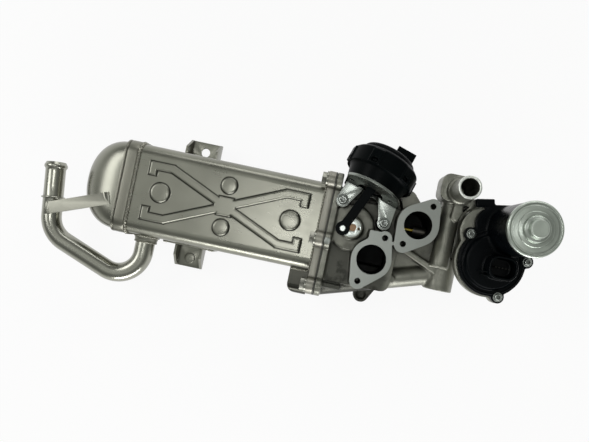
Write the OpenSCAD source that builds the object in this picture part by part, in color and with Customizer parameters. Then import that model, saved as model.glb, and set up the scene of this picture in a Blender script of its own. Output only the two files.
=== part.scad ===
// Exhaust gas recirculation cooler with its bypass flap housing, vacuum
// actuator and motor-driven recirculation valve.
//
// Frame: the origin is the centre of the gas inlet bore on its machined face,
// +Z leaves that face, +X runs along the cooler towards the valve motor.
// The part lies on its back. Heights named *_h are measured from the plane
// that it rests on.

/* [Datum] */
// Height of the two machined gas faces above the resting plane
port_h = 70; // [66:0.5:80]

/* [Cooler core] */
// Length of the drawn shell along X
core_len = 157.5; // [130:0.5:190]
// Height of the core across Y
core_w = 73; // [70:0.5:78]
// Depth of the core along Z
core_d = 54; // [52:0.5:56]
// Radius of the long edges
core_r = 10; // [8:0.5:12]
// Centre line of the core in Y
core_y = 17; // [16:0.5:18]
// Sheet thickness of the shells
shell_t = 1.2; // [0.8:0.1:1.6]
// Height of the pressed cross on both panels
emboss_h = 1.8; // [1:0.1:2.4]
// Width of the pressed arms at their crest
emboss_w = 4.6; // [3.5:0.1:6]
// Half length of the pressed cross
emboss_x = 62; // [54:0.5:66]
// Bend of the pressed arms from the hub, along X
emboss_bend = 46; // [40:0.5:50]
// Half height of the pressed cross
emboss_y = 20.5; // [17:0.5:21]
// Length of the hooks at the ends of the arms
emboss_hook = 6; // [4:0.5:8]
// Width of the sloping side of the pressing
emboss_draft = 1.3; // [0.8:0.1:1.8]
// Width of the clamp band over the end joint
band_w = 10.5; // [9:0.5:14]
// Overlap of the band on the shell
band_lap = 4.5; // [3:0.5:5.5]
// Thickness of the band
band_t = 1.2; // [0.8:0.1:1.5]
// Length of the domed end tank beyond the band
dome_len = 33.5; // [30:0.5:38]
// Number of gas tubes in each of the two passes
tube_rows = 6; // [4:1:6]
// Width of a gas tube
tube_w = 28; // [24:0.5:30]
// Thickness of a gas tube
tube_d = 5; // [4:0.1:6]
// Wall of a gas tube
tube_t = 0.5; // [0.3:0.05:0.8]
// Thickness of the header plates
header_t = 1.5; // [1:0.1:2.5]

/* [Joint flange] */
// Middle of the gasket between cooler and housing
joint_x = -39.5; // [-41:0.5:-39.5]
// Thickness of the steel flange of the cooler
steel_flange_t = 5.5; // [5:0.5:7]
// Thickness of the cast flange of the housing
cast_flange_t = 5.2; // [4.6:0.1:5.4]
// Thickness of the gasket
gasket_t = 1; // [0.5:0.1:1.5]
// Radius of the bolt lugs
lug_r = 6.5; // [6:0.1:7]
// Thread radius of the flange bolts
bolt_r = 3; // [2.5:0.1:3.2]

/* [Coolant pipe] */
// Outer radius of the bent pipe
pipe_r = 8; // [7:0.1:8.5]
// Wall of the bent pipe
pipe_t = 1.2; // [0.8:0.1:1.6]
// Where the pipe enters the core, from the cast side of the band
pipe_in = 12.5; // [12:0.5:16]
// Bend radius next to the core
pipe_bend_in = 21; // [18:0.5:23]
// Bend radius below the spigot
pipe_bend_out = 24; // [20:0.5:26]
// Length of the straight spigot above the strap
spigot_len = 39; // [34:1:46]
// Width of the holding strap
strap_w = 10; // [8:0.5:12]
// Thickness of the holding strap
strap_t = 2.5; // [1.5:0.1:3]

/* [Core brackets] */
// Width of the upper bracket
upper_bracket_w = 27; // [22:0.5:32]
// Reach of the upper bracket above the core
upper_bracket_y = 15; // [13:0.5:20]
// Radius of its fixing hole
bracket_hole_r = 3.75; // [3:0.05:4.25]
// Width of the lower bracket
lower_bracket_w = 23.5; // [20:0.5:30]
// Reach of the lower bracket below the core
lower_bracket_y = 20; // [17:0.5:24]
// Sheet thickness of the brackets
bracket_t = 2; // [1.5:0.1:2.5]

/* [Gas ports] */
// Radius of the gas inlet bore
inlet_r = 11.65; // [10:0.05:12]
// Radius of the gas outlet bore
outlet_r = 11; // [10:0.05:11.5]
// Centre of the gas outlet bore
outlet_at = [30.1, 33.5]; // [-100:0.1:100]
// Pitch of the two tapped holes of the inlet
inlet_pitch = 39.6; // [38:0.1:41]
// Pitch of the two tapped holes of the outlet
outlet_pitch = 37.4; // [36.5:0.1:38.5]
// Radius of the tapped holes
tapped_r = 2.5; // [2:0.05:2.6]
// Depth of the tapped holes
tapped_len = 16; // [10:0.5:18]

/* [Housing] */
// Height of the front wall of the flap chest
chest_h = 50; // [48:0.5:52]
// Wall of the chest
chest_wall = 4; // [3:0.1:4.5]
// Height of the screw bosses and the shaft boss
boss_h = 60; // [58:0.5:62]
// Outer radius of the coolant tube cast below the chest
coolant_r = 9; // [8.2:0.1:9.5]
// Radius of the coolant ways
coolant_way_r = 6; // [4.5:0.1:6.5]
// Height of the coolant tube axis
coolant_h = 33; // [31:0.5:36]
// Rise of the coolant tube against X, in degrees
coolant_rise = 17.2; // [15:0.1:19]
// Outer radius of the cast hose spigot
hose_r = 9; // [8.2:0.1:10]
// Radius of its bore
hose_bore_r = 6.85; // [5.5:0.05:7.3]
// Height of its mouth
hose_h = 92; // [84:1:100]

/* [Bypass flap] */
// Axis of the flap shaft
flap_at = [-19.8, 21.4]; // [-100:0.1:100]
// Radius of the flap shaft
shaft_r = 3.5; // [3:0.05:3.8]
// Radial running clearance of the shaft
shaft_gap = 0.04; // [0.02:0.01:0.08]
// Reach of the flap from the shaft axis
flap_len = 20; // [16:0.5:21]
// Thickness of the flap
flap_t = 2; // [1.5:0.1:2.5]
// Radius from the shaft to the lever pin
lever_r = 7.3; // [6.8:0.1:7.6]
// Angle of the lever pin at rest
lever_angle = 197.4; // [194:0.1:201]
// Radius of the lever pin
lever_pin_r = 2; // [1.6:0.1:2.3]
// Thickness of the lever plate
lever_t = 2.5; // [2:0.1:3]

/* [Vacuum actuator] */
// Middle of the bracket plate
vacuum_at = [-11.5, 51.2]; // [-100:0.1:100]
// Direction of the actuator axis
vacuum_angle = 72.5; // [71.5:0.1:73.5]
// Height of the actuator axis
vacuum_h = 66; // [65:0.5:67]
// Tilt of the actuator axis, with the plate end up
vacuum_tilt = 11; // [9:0.5:12]
// Sheet thickness of the actuator bracket
sheet_t = 2; // [1.5:0.1:2.5]
// Outer radius of the lower can at the bracket
nose_r = 22; // [21.4:0.1:22.4]
// Outer radius of the lower can at its rim
can_r = 24.5; // [24:0.1:24.8]
// Outer radius of the clamped rim
rim_r = 26.2; // [25.8:0.1:26.4]
// Outer radius of the skirt of the cap
skirt_r = 27.5; // [27.3:0.1:27.9]
// Height of the lower can
can_h = 16; // [15:0.5:18]
// Height of the cap above the rim joint
cap_h = 15; // [14:0.5:18]
// Wall of the can and the cap
can_t = 2; // [1.5:0.1:2.4]
// Width of the link rod
rod_w = 7.2; // [6:0.1:8]
// Thickness of the link rod
rod_t = 5; // [4:0.1:5.5]

/* [Recirculation valve] */
// Centre of the round gear case
case_at = [94.2, 17.6]; // [-100:0.1:150]
// Radius of the gear case
case_r = 28.5; // [28:0.1:29.5]
// Wall of the gear case
case_wall = 3.8; // [3:0.1:4]
// Height of the joint between gear case and cover
case_h = 55; // [54:0.5:56]
// Depth of the gear room below that joint
gear_room = 7; // [6.5:0.1:7.5]
// Axis of the motor
motor_at = [106, 45.3]; // [-100:0.1:150]
// Radius of the motor can
motor_r = 18.4; // [17:0.1:19]
// Height of the top of the motor tube
motor_h = 110.5; // [100:0.5:116]
// Axis of the output gear
output_at = [90, 23]; // [-100:0.1:150]
// Module of the motor gear pair
module_fast = 0.7; // [0.68:0.01:0.72]
// Module of the output gear pair
module_slow = 0.9; // [0.88:0.01:0.92]
// Teeth of the motor pinion
pinion_teeth = 9; // [9:1:10]
// Teeth of the large idler wheel
idler_teeth = 26; // [24:1:27]
// Teeth of the small idler wheel
idler_small_teeth = 9; // [9:1:10]
// Teeth of the full circle of the output gear
output_teeth = 34; // [33:1:35]
// Radius of the crank on the output gear
crank_r = 8; // [7.5:0.1:8.4]
// Angle of the crank at rest
crank_angle = 65; // [62:1:70]
// Height of the valve stem axis
stem_h = 30; // [29:0.5:31]
// Radius of the valve stem
stem_r = 1.6; // [1.4:0.05:2]
// Radius of the valve disc
disc_r = 8.8; // [8.2:0.1:9.2]
// Height of the connector mouth
plug_h = 80; // [76:0.5:86]

/* [Hidden] */
$fn = 48;
eps = 0.5;
touch = 0.05;

// Cooler
steel_x0 = joint_x - gasket_t / 2 - steel_flange_t;
cast_x0 = joint_x + gasket_t / 2;
cast_x1 = cast_x0 + cast_flange_t;
shell_x0 = steel_x0 - core_len;
band_x1 = shell_x0 + band_lap;
band_x0 = band_x1 - band_w;
core_mid = emboss_h + core_d / 2;
core_front = emboss_h + core_d;
core_low = core_y - core_w / 2;
core_high = core_y + core_w / 2;
emboss_mid = (band_x1 + steel_x0) / 2;
tube_pitch = (core_d - 2 * shell_t - tube_d - 2) / (tube_rows - 1);
tube_off = tube_w / 2 + 3;
rear_header_x = shell_x0 + 0.5;
front_header_x = steel_x0 - header_t - 1;
front_bolts = [[core_y + 38.2, core_front + 6.2], [core_y - 9.7, core_front + 8.2],
    [core_y - 47, core_front + 6.2]];
bolts = concat(front_bolts, [[core_y + 42, lug_r + 1], [core_y - 52, lug_r + 1]]);
gas_window = [25, 38];
bolt_head_h = 5;

// Coolant
coolant_dir = [cos(coolant_rise), sin(coolant_rise)];
coolant_y0 = -18.1;
coolant_joint_y = coolant_y0 + cast_x0 * tan(coolant_rise);
pocket_w = 16;
pocket_reach = 20.5;
pocket_h0 = coolant_h - 14.5;
pocket_h1 = coolant_h + 12.5;
pocket_r = 7;
pillar_x = 56.5;
pillar_h = 44;
pillar_r = 7.8;
knee_x = 61;
knee_h = 34;
knee_r = 11.8;
hose_at = [59.3, 67.8];

// Bent pipe, in its own plane at half depth
pipe_x = band_x1 + pipe_in;
pipe_run = 21;
pipe_lean = 6.6;
pipe_corner_in = [pipe_x, core_low - 45.4];
pipe_run_len = 86.2;
pipe_corner_out = pipe_corner_in + pipe_run_len * [-cos(pipe_run), sin(pipe_run)];
spigot_dir = [-sin(pipe_lean), cos(pipe_lean)];
pipe_turn_in = 90 + pipe_run;
pipe_turn_out = 90 - pipe_run - pipe_lean;
pipe_tan_in = pipe_bend_in * tan(pipe_turn_in / 2);
pipe_tan_out = pipe_bend_out * tan(pipe_turn_out / 2);
strap_from = pipe_corner_out + (pipe_tan_out + strap_w / 2 + 0.5) * spigot_dir;
spigot_end = strap_from + spigot_len * spigot_dir;
strap_to = [band_x0 - 5, core_y - 12.5];
stop_ring = 30.6;
strap_wrap = 52;

// Gas ports
inlet_tilt = 69;
outlet_tilt = 62.5;
inlet_holes = [for (s = [1, -1]) s * inlet_pitch / 2 * [cos(inlet_tilt), sin(inlet_tilt)]];
outlet_holes = [for (s = [1, -1]) outlet_at + s * outlet_pitch / 2 * [cos(outlet_tilt), sin(outlet_tilt)]];
port_r = 15.8;
bore_len = port_h - chest_h + chest_wall;
outlet_bore_h = 42;
room_r = outlet_r + 1.5;
room_h = 14;

// Flap chest
chest_x1 = 20;
chest_y0 = -24;
chest_y1 = 44;
chest_floor = 6;
room_floor = 11;
low_room = [-5.5, 14];
high_room = [20, 41];
seat_x = 13.5;
seat_len = 5.5;
seat_r = disc_r + 0.7;

// Bypass drive
bush_r = shaft_r + 2;
lever_h = boss_h + 1.2;
pin_at = flap_at + lever_r * [cos(lever_angle), sin(lever_angle)];
rod_h = lever_h + lever_t + 1.4;
eye_r = 5.6;
axis_n = [cos(vacuum_angle), sin(vacuum_angle)];
axis_e = [sin(vacuum_angle), -cos(vacuum_angle)];
tabs = [[-15.6, -15.4], [21.6, -15.6]];
tab_roots = [[-20, -5.5], [7.5, 24]];
tab_r = 5.3;
tab_at = [for (t = tabs) vacuum_at + t[0] * axis_e + t[1] * axis_n];
screw_r = 2.5;
plate_r = 25;
plate_left = 21.6;
plate_low = 15;
plate_holes = [[-17, -5], [17, -4]];
rod_hole_r = 11;
joint_z = sheet_t + can_h;
film_t = 0.8;
piston_z = 7.5;
piston_t = 2;
piston_r = 15;
cap_top = joint_z + film_t + cap_h;
dome_r = can_r - 2.3;
rod_end = vacuum_at + (piston_z - 1) * axis_n;

// Gear train
gear_floor = case_h - gear_room;
seal_t = 0.8;
cover_h = case_h + seal_t;
cover_t = 5.5;
cover_top = cover_h + cover_t;
slow_h = gear_floor + 0.6;
slow_t = 4;
fast_h = slow_h + slow_t + 0.8;
fast_t = 3;
idler_gap = module_fast * (pinion_teeth + idler_teeth) / 2;
output_gap = module_slow * (idler_small_teeth + output_teeth) / 2;
motor_to_output = output_at - motor_at;
motor_span = norm(motor_to_output);
motor_dir = atan2(motor_to_output[1], motor_to_output[0]);
idler_swing = acos((idler_gap * idler_gap + motor_span * motor_span - output_gap * output_gap)
    / (2 * idler_gap * motor_span));
idler_dir = motor_dir + idler_swing;
idler_at = motor_at + idler_gap * [cos(idler_dir), sin(idler_dir)];
output_dir = atan2(output_at[1] - idler_at[1], output_at[0] - idler_at[0]);
output_tip = module_slow * (output_teeth / 2 + 0.7);
idler_tip = module_fast * (idler_teeth / 2 + 0.7);
screw_angles = [137.9, -68.7, 12.2];
screw_ring = case_r - 0.65;
case_screws = [for (a = screw_angles) case_at + screw_ring * [cos(a), sin(a)]];
screw_lobe_r = 5.6;
collar_at = [86, 40];
collar_r = 20.5;
cover_screw_r = 2;
idler_room = idler_tip + 1.2;
motor_tube_r = motor_r + 1.8;
output_pin_r = 3;
idler_pin_r = 2;
gear_gap = 0.04;

// Crank and valve
crank_pin_r = 2.5;
roller_r = 4;
yoke_play = 0.25;
yoke_wall = 3;
crank_at = output_at + crank_r * [cos(crank_angle), sin(crank_angle)];
stem_y = output_at[1] + crank_r * (1 + sin(crank_angle)) / 2;
valve_stroke = 2 * (crank_at[0] - output_at[0]);
yoke_slot = 2 * (roller_r + yoke_play);
yoke_x0 = crank_at[0] - yoke_slot / 2 - yoke_wall;
yoke_len = yoke_slot + 2 * yoke_wall;
yoke_w = 16;
yoke_d = 8;
yoke_room = [yoke_x0 - valve_stroke - 1.5, yoke_x0 + yoke_len + 1.5];
foot_x = 66;
foot_t = yoke_room[0] - 4 - foot_x;
foot_y = [14.5, 56];
foot_h = [5, 38];
foot_bolts = [[20.5, 12], [50, 22.5]];
case_body_h = 19;
guide_r = 4.5;
guide_x0 = 31.5;
guide_x1 = 52;
spring_room_r = 7;
spring_x0 = foot_x + 2;

// Motor and connector
motor_floor = cover_top + 1;
motor_wall = 1;
motor_shaft_r = 1.6;
plug_at = [99.3, 14.4];
plug_size = [22.5, 18.5];
plug_wall = 2;
plug_floor = 3;
pin_root = 3;
pin_set = 4;
socket_h = max(plug_h - 13, cover_top + plug_floor);

// Lifts the model from the resting plane to the datum
module datum() { translate([0, 0, -port_h]) children(); }

// Level frame at the bracket plate: x along the plate, y away from the flap shaft
module vacuum_place() {
    datum() translate([vacuum_at[0], vacuum_at[1], vacuum_h]) rotate([0, 0, vacuum_angle - 90]) children();
}

// Tilted frame of the vacuum actuator: x along its plate, z along its axis
module vacuum_frame() {
    vacuum_place() rotate([-90 - vacuum_tilt, 0, 0]) children();
}

// Extrudes a profile drawn in Y and height along +X
module along_x(x0, x1) {
    translate([x0, 0, 0]) rotate([90, 0, 90]) linear_extrude(x1 - x0) children();
}

module rounded(size, r) {
    square([size[0] - 2 * r, size[1]], center = true);
    square([size[0], size[1] - 2 * r], center = true);
    for (x = [-1, 1], y = [-1, 1]) translate([x * (size[0] / 2 - r), y * (size[1] / 2 - r)]) circle(r);
}

// Points of an arc round a centre
function arc(at, r, from, to, steps) =
    [for (i = [0 : steps]) let (q = from + (to - from) * i / steps) at + r * [cos(q), sin(q)]];

// Two discs joined by their outer tangents
module lobe(a, ra, b, rb) {
    dir = atan2(b[1] - a[1], b[0] - a[0]);
    lean = acos((ra - rb) / norm(b - a));
    polygon(concat(arc(b, rb, dir - lean, dir + lean, 16), arc(a, ra, dir + lean, dir + 360 - lean, 24)));
}

// Straight bar of a given width between two points
module bar(a, b, w) {
    translate(a) rotate(atan2(b[1] - a[1], b[0] - a[0])) translate([0, -w / 2]) square([norm(b - a), w]);
}

module hex_bolt(r, len, head_h) {
    translate([0, 0, -len]) cylinder(r = r, h = len + touch);
    cylinder(r = 2 * r, h = 0.3 * head_h);
    cylinder(r = 1.75 * r, h = head_h, $fn = 6);
}

module pan_screw(r, len, head_h) {
    translate([0, 0, -len]) cylinder(r = r, h = len + touch);
    difference() {
        cylinder(r = 1.9 * r, h = head_h);
        translate([0, 0, head_h * 0.4]) cylinder(r = r, h = head_h, $fn = 6);
    }
}

// Core shells

module core_section(grow = 0) {
    translate([core_y, core_mid]) rounded([core_w + 2 * grow, core_d + 2 * grow], core_r + grow);
}

module emboss_plan() {
    for (mx = [-1, 1], my = [-1, 1]) {
        bend = [mx * emboss_bend, my * emboss_y];
        tip = [mx * emboss_x, my * emboss_y];
        hook = tip - [0, my * emboss_hook];
        bar([0, 0], bend, emboss_w);
        bar(bend, tip, emboss_w);
        bar(tip, hook, emboss_w);
        for (p = [bend, tip, hook]) translate(p) circle(emboss_w / 2, $fn = 16);
    }
    translate([-8, -5]) square([16, 10]);
    translate([-5, -6.5]) square([10, 13]);
    for (s = [-1, 1]) {
        translate([s * 53, 0]) circle(7, $fn = 24);
        translate([0, s * 17]) circle(5.7, $fn = 24);
    }
}

// Pressed cross with sloping sides, its foot sunk in the panel
module emboss() {
    minkowski() {
        linear_extrude(eps) emboss_plan();
        cylinder(r1 = emboss_draft, r2 = 0, h = emboss_h, $fn = 8);
    }
}

module pipe_hole() {
    translate([pipe_x, core_low + 5, core_mid]) rotate([90, 0, 0]) cylinder(r = pipe_r + touch, h = 10);
}

module pocket_hole() {
    translate([steel_x0 - pocket_w + 4, core_low - eps, coolant_h - 7])
        cube([pocket_w - 8, shell_t + 2 * eps, 14]);
}

module shell_half(front) {
    difference() {
        along_x(shell_x0, steel_x0) difference() {
            core_section();
            core_section(-shell_t);
            translate([core_low - eps, front ? -eps : core_mid]) square([core_w + 2 * eps, core_mid + eps]);
        }
        pipe_hole();
        pocket_hole();
    }
    if (front)
        translate([emboss_mid, core_y, core_front - eps]) emboss();
    else
        translate([emboss_mid, core_y, emboss_h + eps]) mirror([0, 0, 1]) emboss();
}

module shell_front() { color("silver") datum() shell_half(true); }
module shell_rear() { color("silver") datum() shell_half(false); }

module end_band() {
    color("gray") datum() {
        along_x(band_x0, band_x1) difference() { core_section(band_t); core_section(); }
        along_x(band_x1, band_x1 + 2.5) difference() { core_section(band_t * 0.6); core_section(); }
    }
}

module tank_form(inset) {
    mid_r = core_d / 2 - inset;
    side_r = 24 - inset;
    hull() {
        along_x(band_x0 - eps, shell_x0) translate([core_y, core_mid])
            rounded([core_w - 2 * inset, core_d - 2 * inset], core_r - inset, $fn = 32);
        translate([band_x0 - dome_len + core_d / 2, core_y, core_mid]) sphere(mid_r, $fn = 28);
        for (s = [-1, 1])
            translate([band_x0 - dome_len + 27.5, core_y + s * (core_w / 2 - 24.5), core_mid])
                sphere(side_r, $fn = 28);
    }
}

module end_tank() {
    color("silver") datum() difference() {
        tank_form(0);
        tank_form(shell_t);
        along_x(shell_x0 - eps, shell_x0 + core_d) core_section(eps);
    }
}

// Gas side of the core

module tube_profile(grow) {
    for (s = [-1, 1], i = [0 : tube_rows - 1])
        translate([core_y + s * tube_off, core_mid + (i - (tube_rows - 1) / 2) * tube_pitch])
            rounded([tube_w + 2 * grow, tube_d + 2 * grow], tube_d / 2 + grow - 0.05);
}

module gas_tubes() {
    color("lightgray") datum() along_x(rear_header_x, front_header_x + header_t) difference() {
        tube_profile(0);
        tube_profile(-tube_t);
    }
}

module header_plate(x) {
    datum() along_x(x, x + header_t) difference() {
        core_section(-shell_t);
        tube_profile(0);
    }
}

module rear_header() { color("gray") header_plate(rear_header_x); }
module front_header() { color("gray") header_plate(front_header_x); }

// Joint between cooler and housing

module flange_outline() {
    translate([core_y - 7, core_mid + 1]) rounded([core_w + 23, core_d + 1], 8);
    for (b = front_bolts) {
        translate(b) circle(lug_r);
        translate([b[0] - lug_r, core_mid]) square([2 * lug_r, b[1] - core_mid]);
    }
    for (b = bolts) translate(b) circle(lug_r);
}

module flange_openings(hole_r) {
    for (s = [-1, 1]) translate([core_y + s * 16, core_mid]) rounded(gas_window, 5);
    translate([coolant_joint_y, coolant_h]) circle(coolant_way_r);
    for (b = bolts) translate(b) circle(hole_r);
}

module cooler_flange() {
    color("gray") datum() along_x(steel_x0, steel_x0 + steel_flange_t) difference() {
        flange_outline();
        flange_openings(bolt_r + 0.3);
    }
}

module flange_gasket() {
    color("dimgray") datum() along_x(joint_x - gasket_t / 2, cast_x0) difference() {
        flange_outline();
        flange_openings(bolt_r + 0.3);
    }
}

module flange_bolts() {
    color("silver") datum() for (b = bolts)
        translate([steel_x0, b[0], b[1]]) rotate([0, -90, 0])
            hex_bolt(bolt_r, steel_flange_t + gasket_t + cast_flange_t, bolt_head_h);
}

// Coolant side

module pipe_ring(thin) {
    difference() { circle(pipe_r - thin); circle(pipe_r - pipe_t + thin); }
}

module pipe_straight(a, b) {
    translate([a[0], a[1], 0]) rotate([0, 0, atan2(b[1] - a[1], b[0] - a[0])]) rotate([0, 90, 0])
        linear_extrude(norm(b - a)) pipe_ring(0);
}

// The bending thins the wall a little, and each bend runs a hair into its neighbours
module pipe_bend(at, r, from, turn) {
    lap = 0.3 / r * 180 / PI;
    translate([at[0], at[1], 0]) rotate([0, 0, from - lap]) rotate_extrude(angle = turn + 2 * lap)
        translate([r, 0]) pipe_ring(0.03);
}

// Straight, bend, straight, bend, straight
module pipe_path() {
    run_dir = [-cos(pipe_run), sin(pipe_run)];
    knee_in = pipe_corner_in + [0, pipe_tan_in];
    run_to = pipe_corner_out - pipe_tan_out * run_dir;
    pipe_straight([pipe_x, core_low + shell_t], knee_in);
    pipe_bend(knee_in - [pipe_bend_in, 0], pipe_bend_in, -pipe_turn_in, pipe_turn_in);
    pipe_straight(pipe_corner_in + pipe_tan_in * run_dir, run_to);
    pipe_bend(run_to + pipe_bend_out * [sin(pipe_run), cos(pipe_run)], pipe_bend_out,
        -90 - pipe_run - pipe_turn_out, pipe_turn_out);
    on_spigot(norm(spigot_end - pipe_corner_out) - pipe_tan_out) spigot_form();
}

module on_spigot(back) {
    p = spigot_end - back * spigot_dir;
    translate([p[0], p[1], 0]) rotate([0, 0, 90 + pipe_lean]) rotate([0, 90, 0]) children();
}

// Straight spigot with a stop ring for the hose and a rolled bead at the mouth
module spigot_form() {
    len = norm(spigot_end - pipe_corner_out) - pipe_tan_out;
    ring = len - stop_ring;
    rotate_extrude() polygon([[pipe_r - pipe_t, 0], [pipe_r, 0], [pipe_r, ring], [pipe_r + 1.3, ring],
        [pipe_r + 1.3, ring + 1.6], [pipe_r, ring + 1.6], [pipe_r, len - 6], [pipe_r + 1.1, len - 4.4],
        [pipe_r + 1.1, len - 2], [pipe_r, len - 0.4], [pipe_r, len], [pipe_r - pipe_t, len]]);
}

module coolant_pipe() {
    color("lightgray") datum() translate([0, 0, core_mid]) pipe_path();
}

module pipe_ferrule() {
    color("gray") datum() translate([pipe_x, core_low, core_mid]) rotate([90, 0, 0])
        rotate_extrude() polygon([[pipe_r + touch, 0], [pipe_r + 1.7, 0], [pipe_r + 1.7, 2.2],
            [pipe_r + 1.2, 4], [pipe_r + 1, 5.6], [pipe_r + touch, 5.6]]);
}

module pipe_strap() {
    span = norm(strap_to - strap_from);
    turn = atan2(strap_to[1] - strap_from[1], strap_to[0] - strap_from[0]);
    low = core_mid + pipe_r + touch;
    rise = core_front - 2.2 - low;
    color("silver") datum() difference() {
        strap_form(span, turn, low, rise);
        tank_form(-touch);
    }
}

module strap_form(span, turn, low, rise) {
    translate([strap_from[0], strap_from[1], core_mid]) rotate([0, 0, pipe_lean]) rotate([90, 0, 0])
        translate([0, 0, -strap_w / 2]) rotate([0, 0, 85]) rotate_extrude(angle = strap_wrap)
            translate([pipe_r + touch, 0]) square([strap_t, strap_w]);
    translate([strap_from[0], strap_from[1], 0]) rotate([0, 0, turn]) rotate([90, 0, 0])
        translate([0, 0, -strap_w / 2]) linear_extrude(strap_w)
            polygon([[0, low], [3, low], [span, low + rise], [span, low + rise + strap_t],
                [3, low + strap_t], [0, low + strap_t]]);
}

// Folded channel on a side wall of the core, its web at the given height
module channel(w, reach, web_h, side_h, hole_r, hole_y) {
    difference() {
        translate([-w / 2, 0, web_h]) cube([w, reach, side_h]);
        translate([-w / 2 + bracket_t, -eps, web_h + bracket_t]) cube([w - 2 * bracket_t, reach + 2 * eps, side_h]);
        translate([0, reach, web_h + side_h]) rotate([0, 90, 0]) translate([0, 0, -w])
            linear_extrude(2 * w) polygon([[0, 0.1], [side_h - 3, 0.1], [0, -reach * 0.5]]);
        if (hole_r > 0) translate([0, hole_y, web_h - eps]) cylinder(r = hole_r, h = bracket_t + 2 * eps);
    }
}

upper_bracket_x = emboss_mid - 33.5;
upper_hole_y = 6.5;

module upper_bracket() {
    color("silver") datum() translate([upper_bracket_x, core_high, 0])
        channel(upper_bracket_w, upper_bracket_y, core_r + emboss_h, 18, bracket_hole_r, upper_hole_y);
}

lower_foot = [21, 22];
foot_gap = 3;
lower_bracket_x = max(emboss_mid - 28, pipe_x + pipe_r + 1.7 + foot_gap + lower_foot[0]);

module lower_bracket() {
    web_h = core_r + emboss_h;
    color("silver") datum() translate([lower_bracket_x, core_low, 0]) mirror([0, 1, 0]) {
        translate([0, bracket_t, 0]) channel(lower_bracket_w, lower_bracket_y - bracket_t, web_h, 15, 0, 0);
        translate([-lower_foot[0], 0, web_h]) cube([lower_foot[0] + lower_foot[1], bracket_t, 20]);
        translate([0, lower_bracket_y * 0.62, web_h + bracket_t - 0.2]) cylinder(r = 4.2, h = 1);
    }
}

// Drawn elbow, open to the core above and to the flange beside it
module pocket_form(inset, over) {
    low = [steel_x0 - pocket_w + inset, core_low - pocket_reach + inset];
    high = [steel_x0 + over, core_low + over];
    h = [pocket_h0 + inset, pocket_h1 - inset];
    r = pocket_r - inset;
    intersection() {
        translate([0, 0, h[0]]) linear_extrude(h[1] - h[0]) polygon(concat(
            [high, [low[0], high[1]]], arc(low + [r, r], r, 180, 270, 8), [[high[0], low[1]]]));
        along_x(low[0], high[0]) polygon(concat([[high[1], h[0]], [high[1], h[1]]],
            arc([low[1] + r, h[1] - r], r, 90, 180, 6), arc([low[1] + r, h[0] + r], r, 180, 270, 6)));
    }
}

module coolant_pocket() {
    color("silver") datum() difference() {
        pocket_form(0, 0);
        pocket_form(1.5, eps);
    }
}

// Valve housing, one aluminium casting

module inlet_outline() {
    ear_x = -5.5;
    lobe([0, 0], port_r, inlet_holes[0], 5.4);
    lobe([0, 0], port_r, inlet_holes[1], 6.3);
    translate([ear_x, 0]) square([inlet_holes[0][0] - ear_x, inlet_holes[0][1] + 4]);
}

module outlet_outline() {
    lobe(outlet_at, port_r + 0.6, outlet_holes[0], 6);
    lobe(outlet_at, port_r + 0.6, outlet_holes[1], 7);
}

module coolant_run(r, x0, x1) {
    translate([x0, coolant_y0 + x0 * tan(coolant_rise), coolant_h]) rotate([0, 0, coolant_rise])
        rotate([0, 90, 0]) cylinder(r = r, h = (x1 - x0) / cos(coolant_rise));
}

module along_y(x, h, r, y0, y1) {
    translate([x, y0, h]) rotate([-90, 0, 0]) cylinder(r = r, h = y1 - y0);
}

module stem_line(r, x0, x1) {
    translate([x0, stem_y, stem_h]) rotate([0, 90, 0]) cylinder(r = r, h = x1 - x0);
}

knee_y = [-14, 13];
pillar_y = [5, 62];
block_at = [55.5, 69.2];
block_size = [24, 22.5];
block_h = [34, 58];
web_h = [28, 38];
arm_h = [47, 54.5];
low_ear = [0.4, -31];
high_ear = [21.5, 55];
ear_r = 6.5;
ear_hole_r = 3.3;
ear_t = 13;
ear_hole_len = 9;
ear_dish = [4, 1.8];
low_ear_h = chest_floor + 8;
shelf_h = [26, 35];
brace_top = coolant_h + 12;
turret_r = 18.2;
turret_h = boss_h - 4;
rear_pads = [[-20, -13], [-20, 33], [12, -13], [30, 33], [59, 24], [59, 47]];

module chest_form() {
    w = chest_x1 - cast_x0;
    translate([cast_x0 + w / 2, (chest_y0 + chest_y1) / 2, chest_floor])
        linear_extrude(chest_h - chest_floor) rounded([w, chest_y1 - chest_y0], 7);
    for (y = [-28, -15.5]) translate([cast_x1 - 1, y - 2, coolant_h - 4]) cube([16, 4, chest_h - coolant_h + 4]);
    for (p = rear_pads) translate(p) cylinder(r = 6.5, h = chest_floor + 4);
}

module port_form() {
    translate([0, 0, chest_h - 6]) linear_extrude(port_h - chest_h + 6) inlet_outline();
    translate([outlet_at[0], outlet_at[1], chest_floor]) cylinder(r = port_r - 0.2, h = port_h - chest_floor);
    translate([0, 0, port_h - 12]) linear_extrude(12) outlet_outline();
    for (p = outlet_holes) translate([p[0], p[1], port_h - tapped_len - 3]) cylinder(r = 5.2, h = tapped_len - 4);
}

module coolant_form() {
    coolant_run(coolant_r, cast_x0 + coolant_r * sin(coolant_rise), knee_x);
    along_y(knee_x, knee_h, knee_r, knee_y[0], knee_y[1]);
    along_y(pillar_x, pillar_h, pillar_r, pillar_y[0], pillar_y[1]);
    translate([block_at[0], block_at[1], block_h[0]])
        linear_extrude(block_h[1] - block_h[0]) rounded(block_size, 7);
    translate([hose_at[0], hose_at[1], block_h[1] - 1]) {
        cylinder(r1 = hose_r + 2.6, r2 = hose_r + 1.6, h = 4);
        cylinder(r = hose_r, h = hose_h - block_h[1] + 1);
    }
    translate([20.6, -12.4, coolant_h]) cylinder(r = 3.4, h = coolant_r + 2);
}

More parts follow.
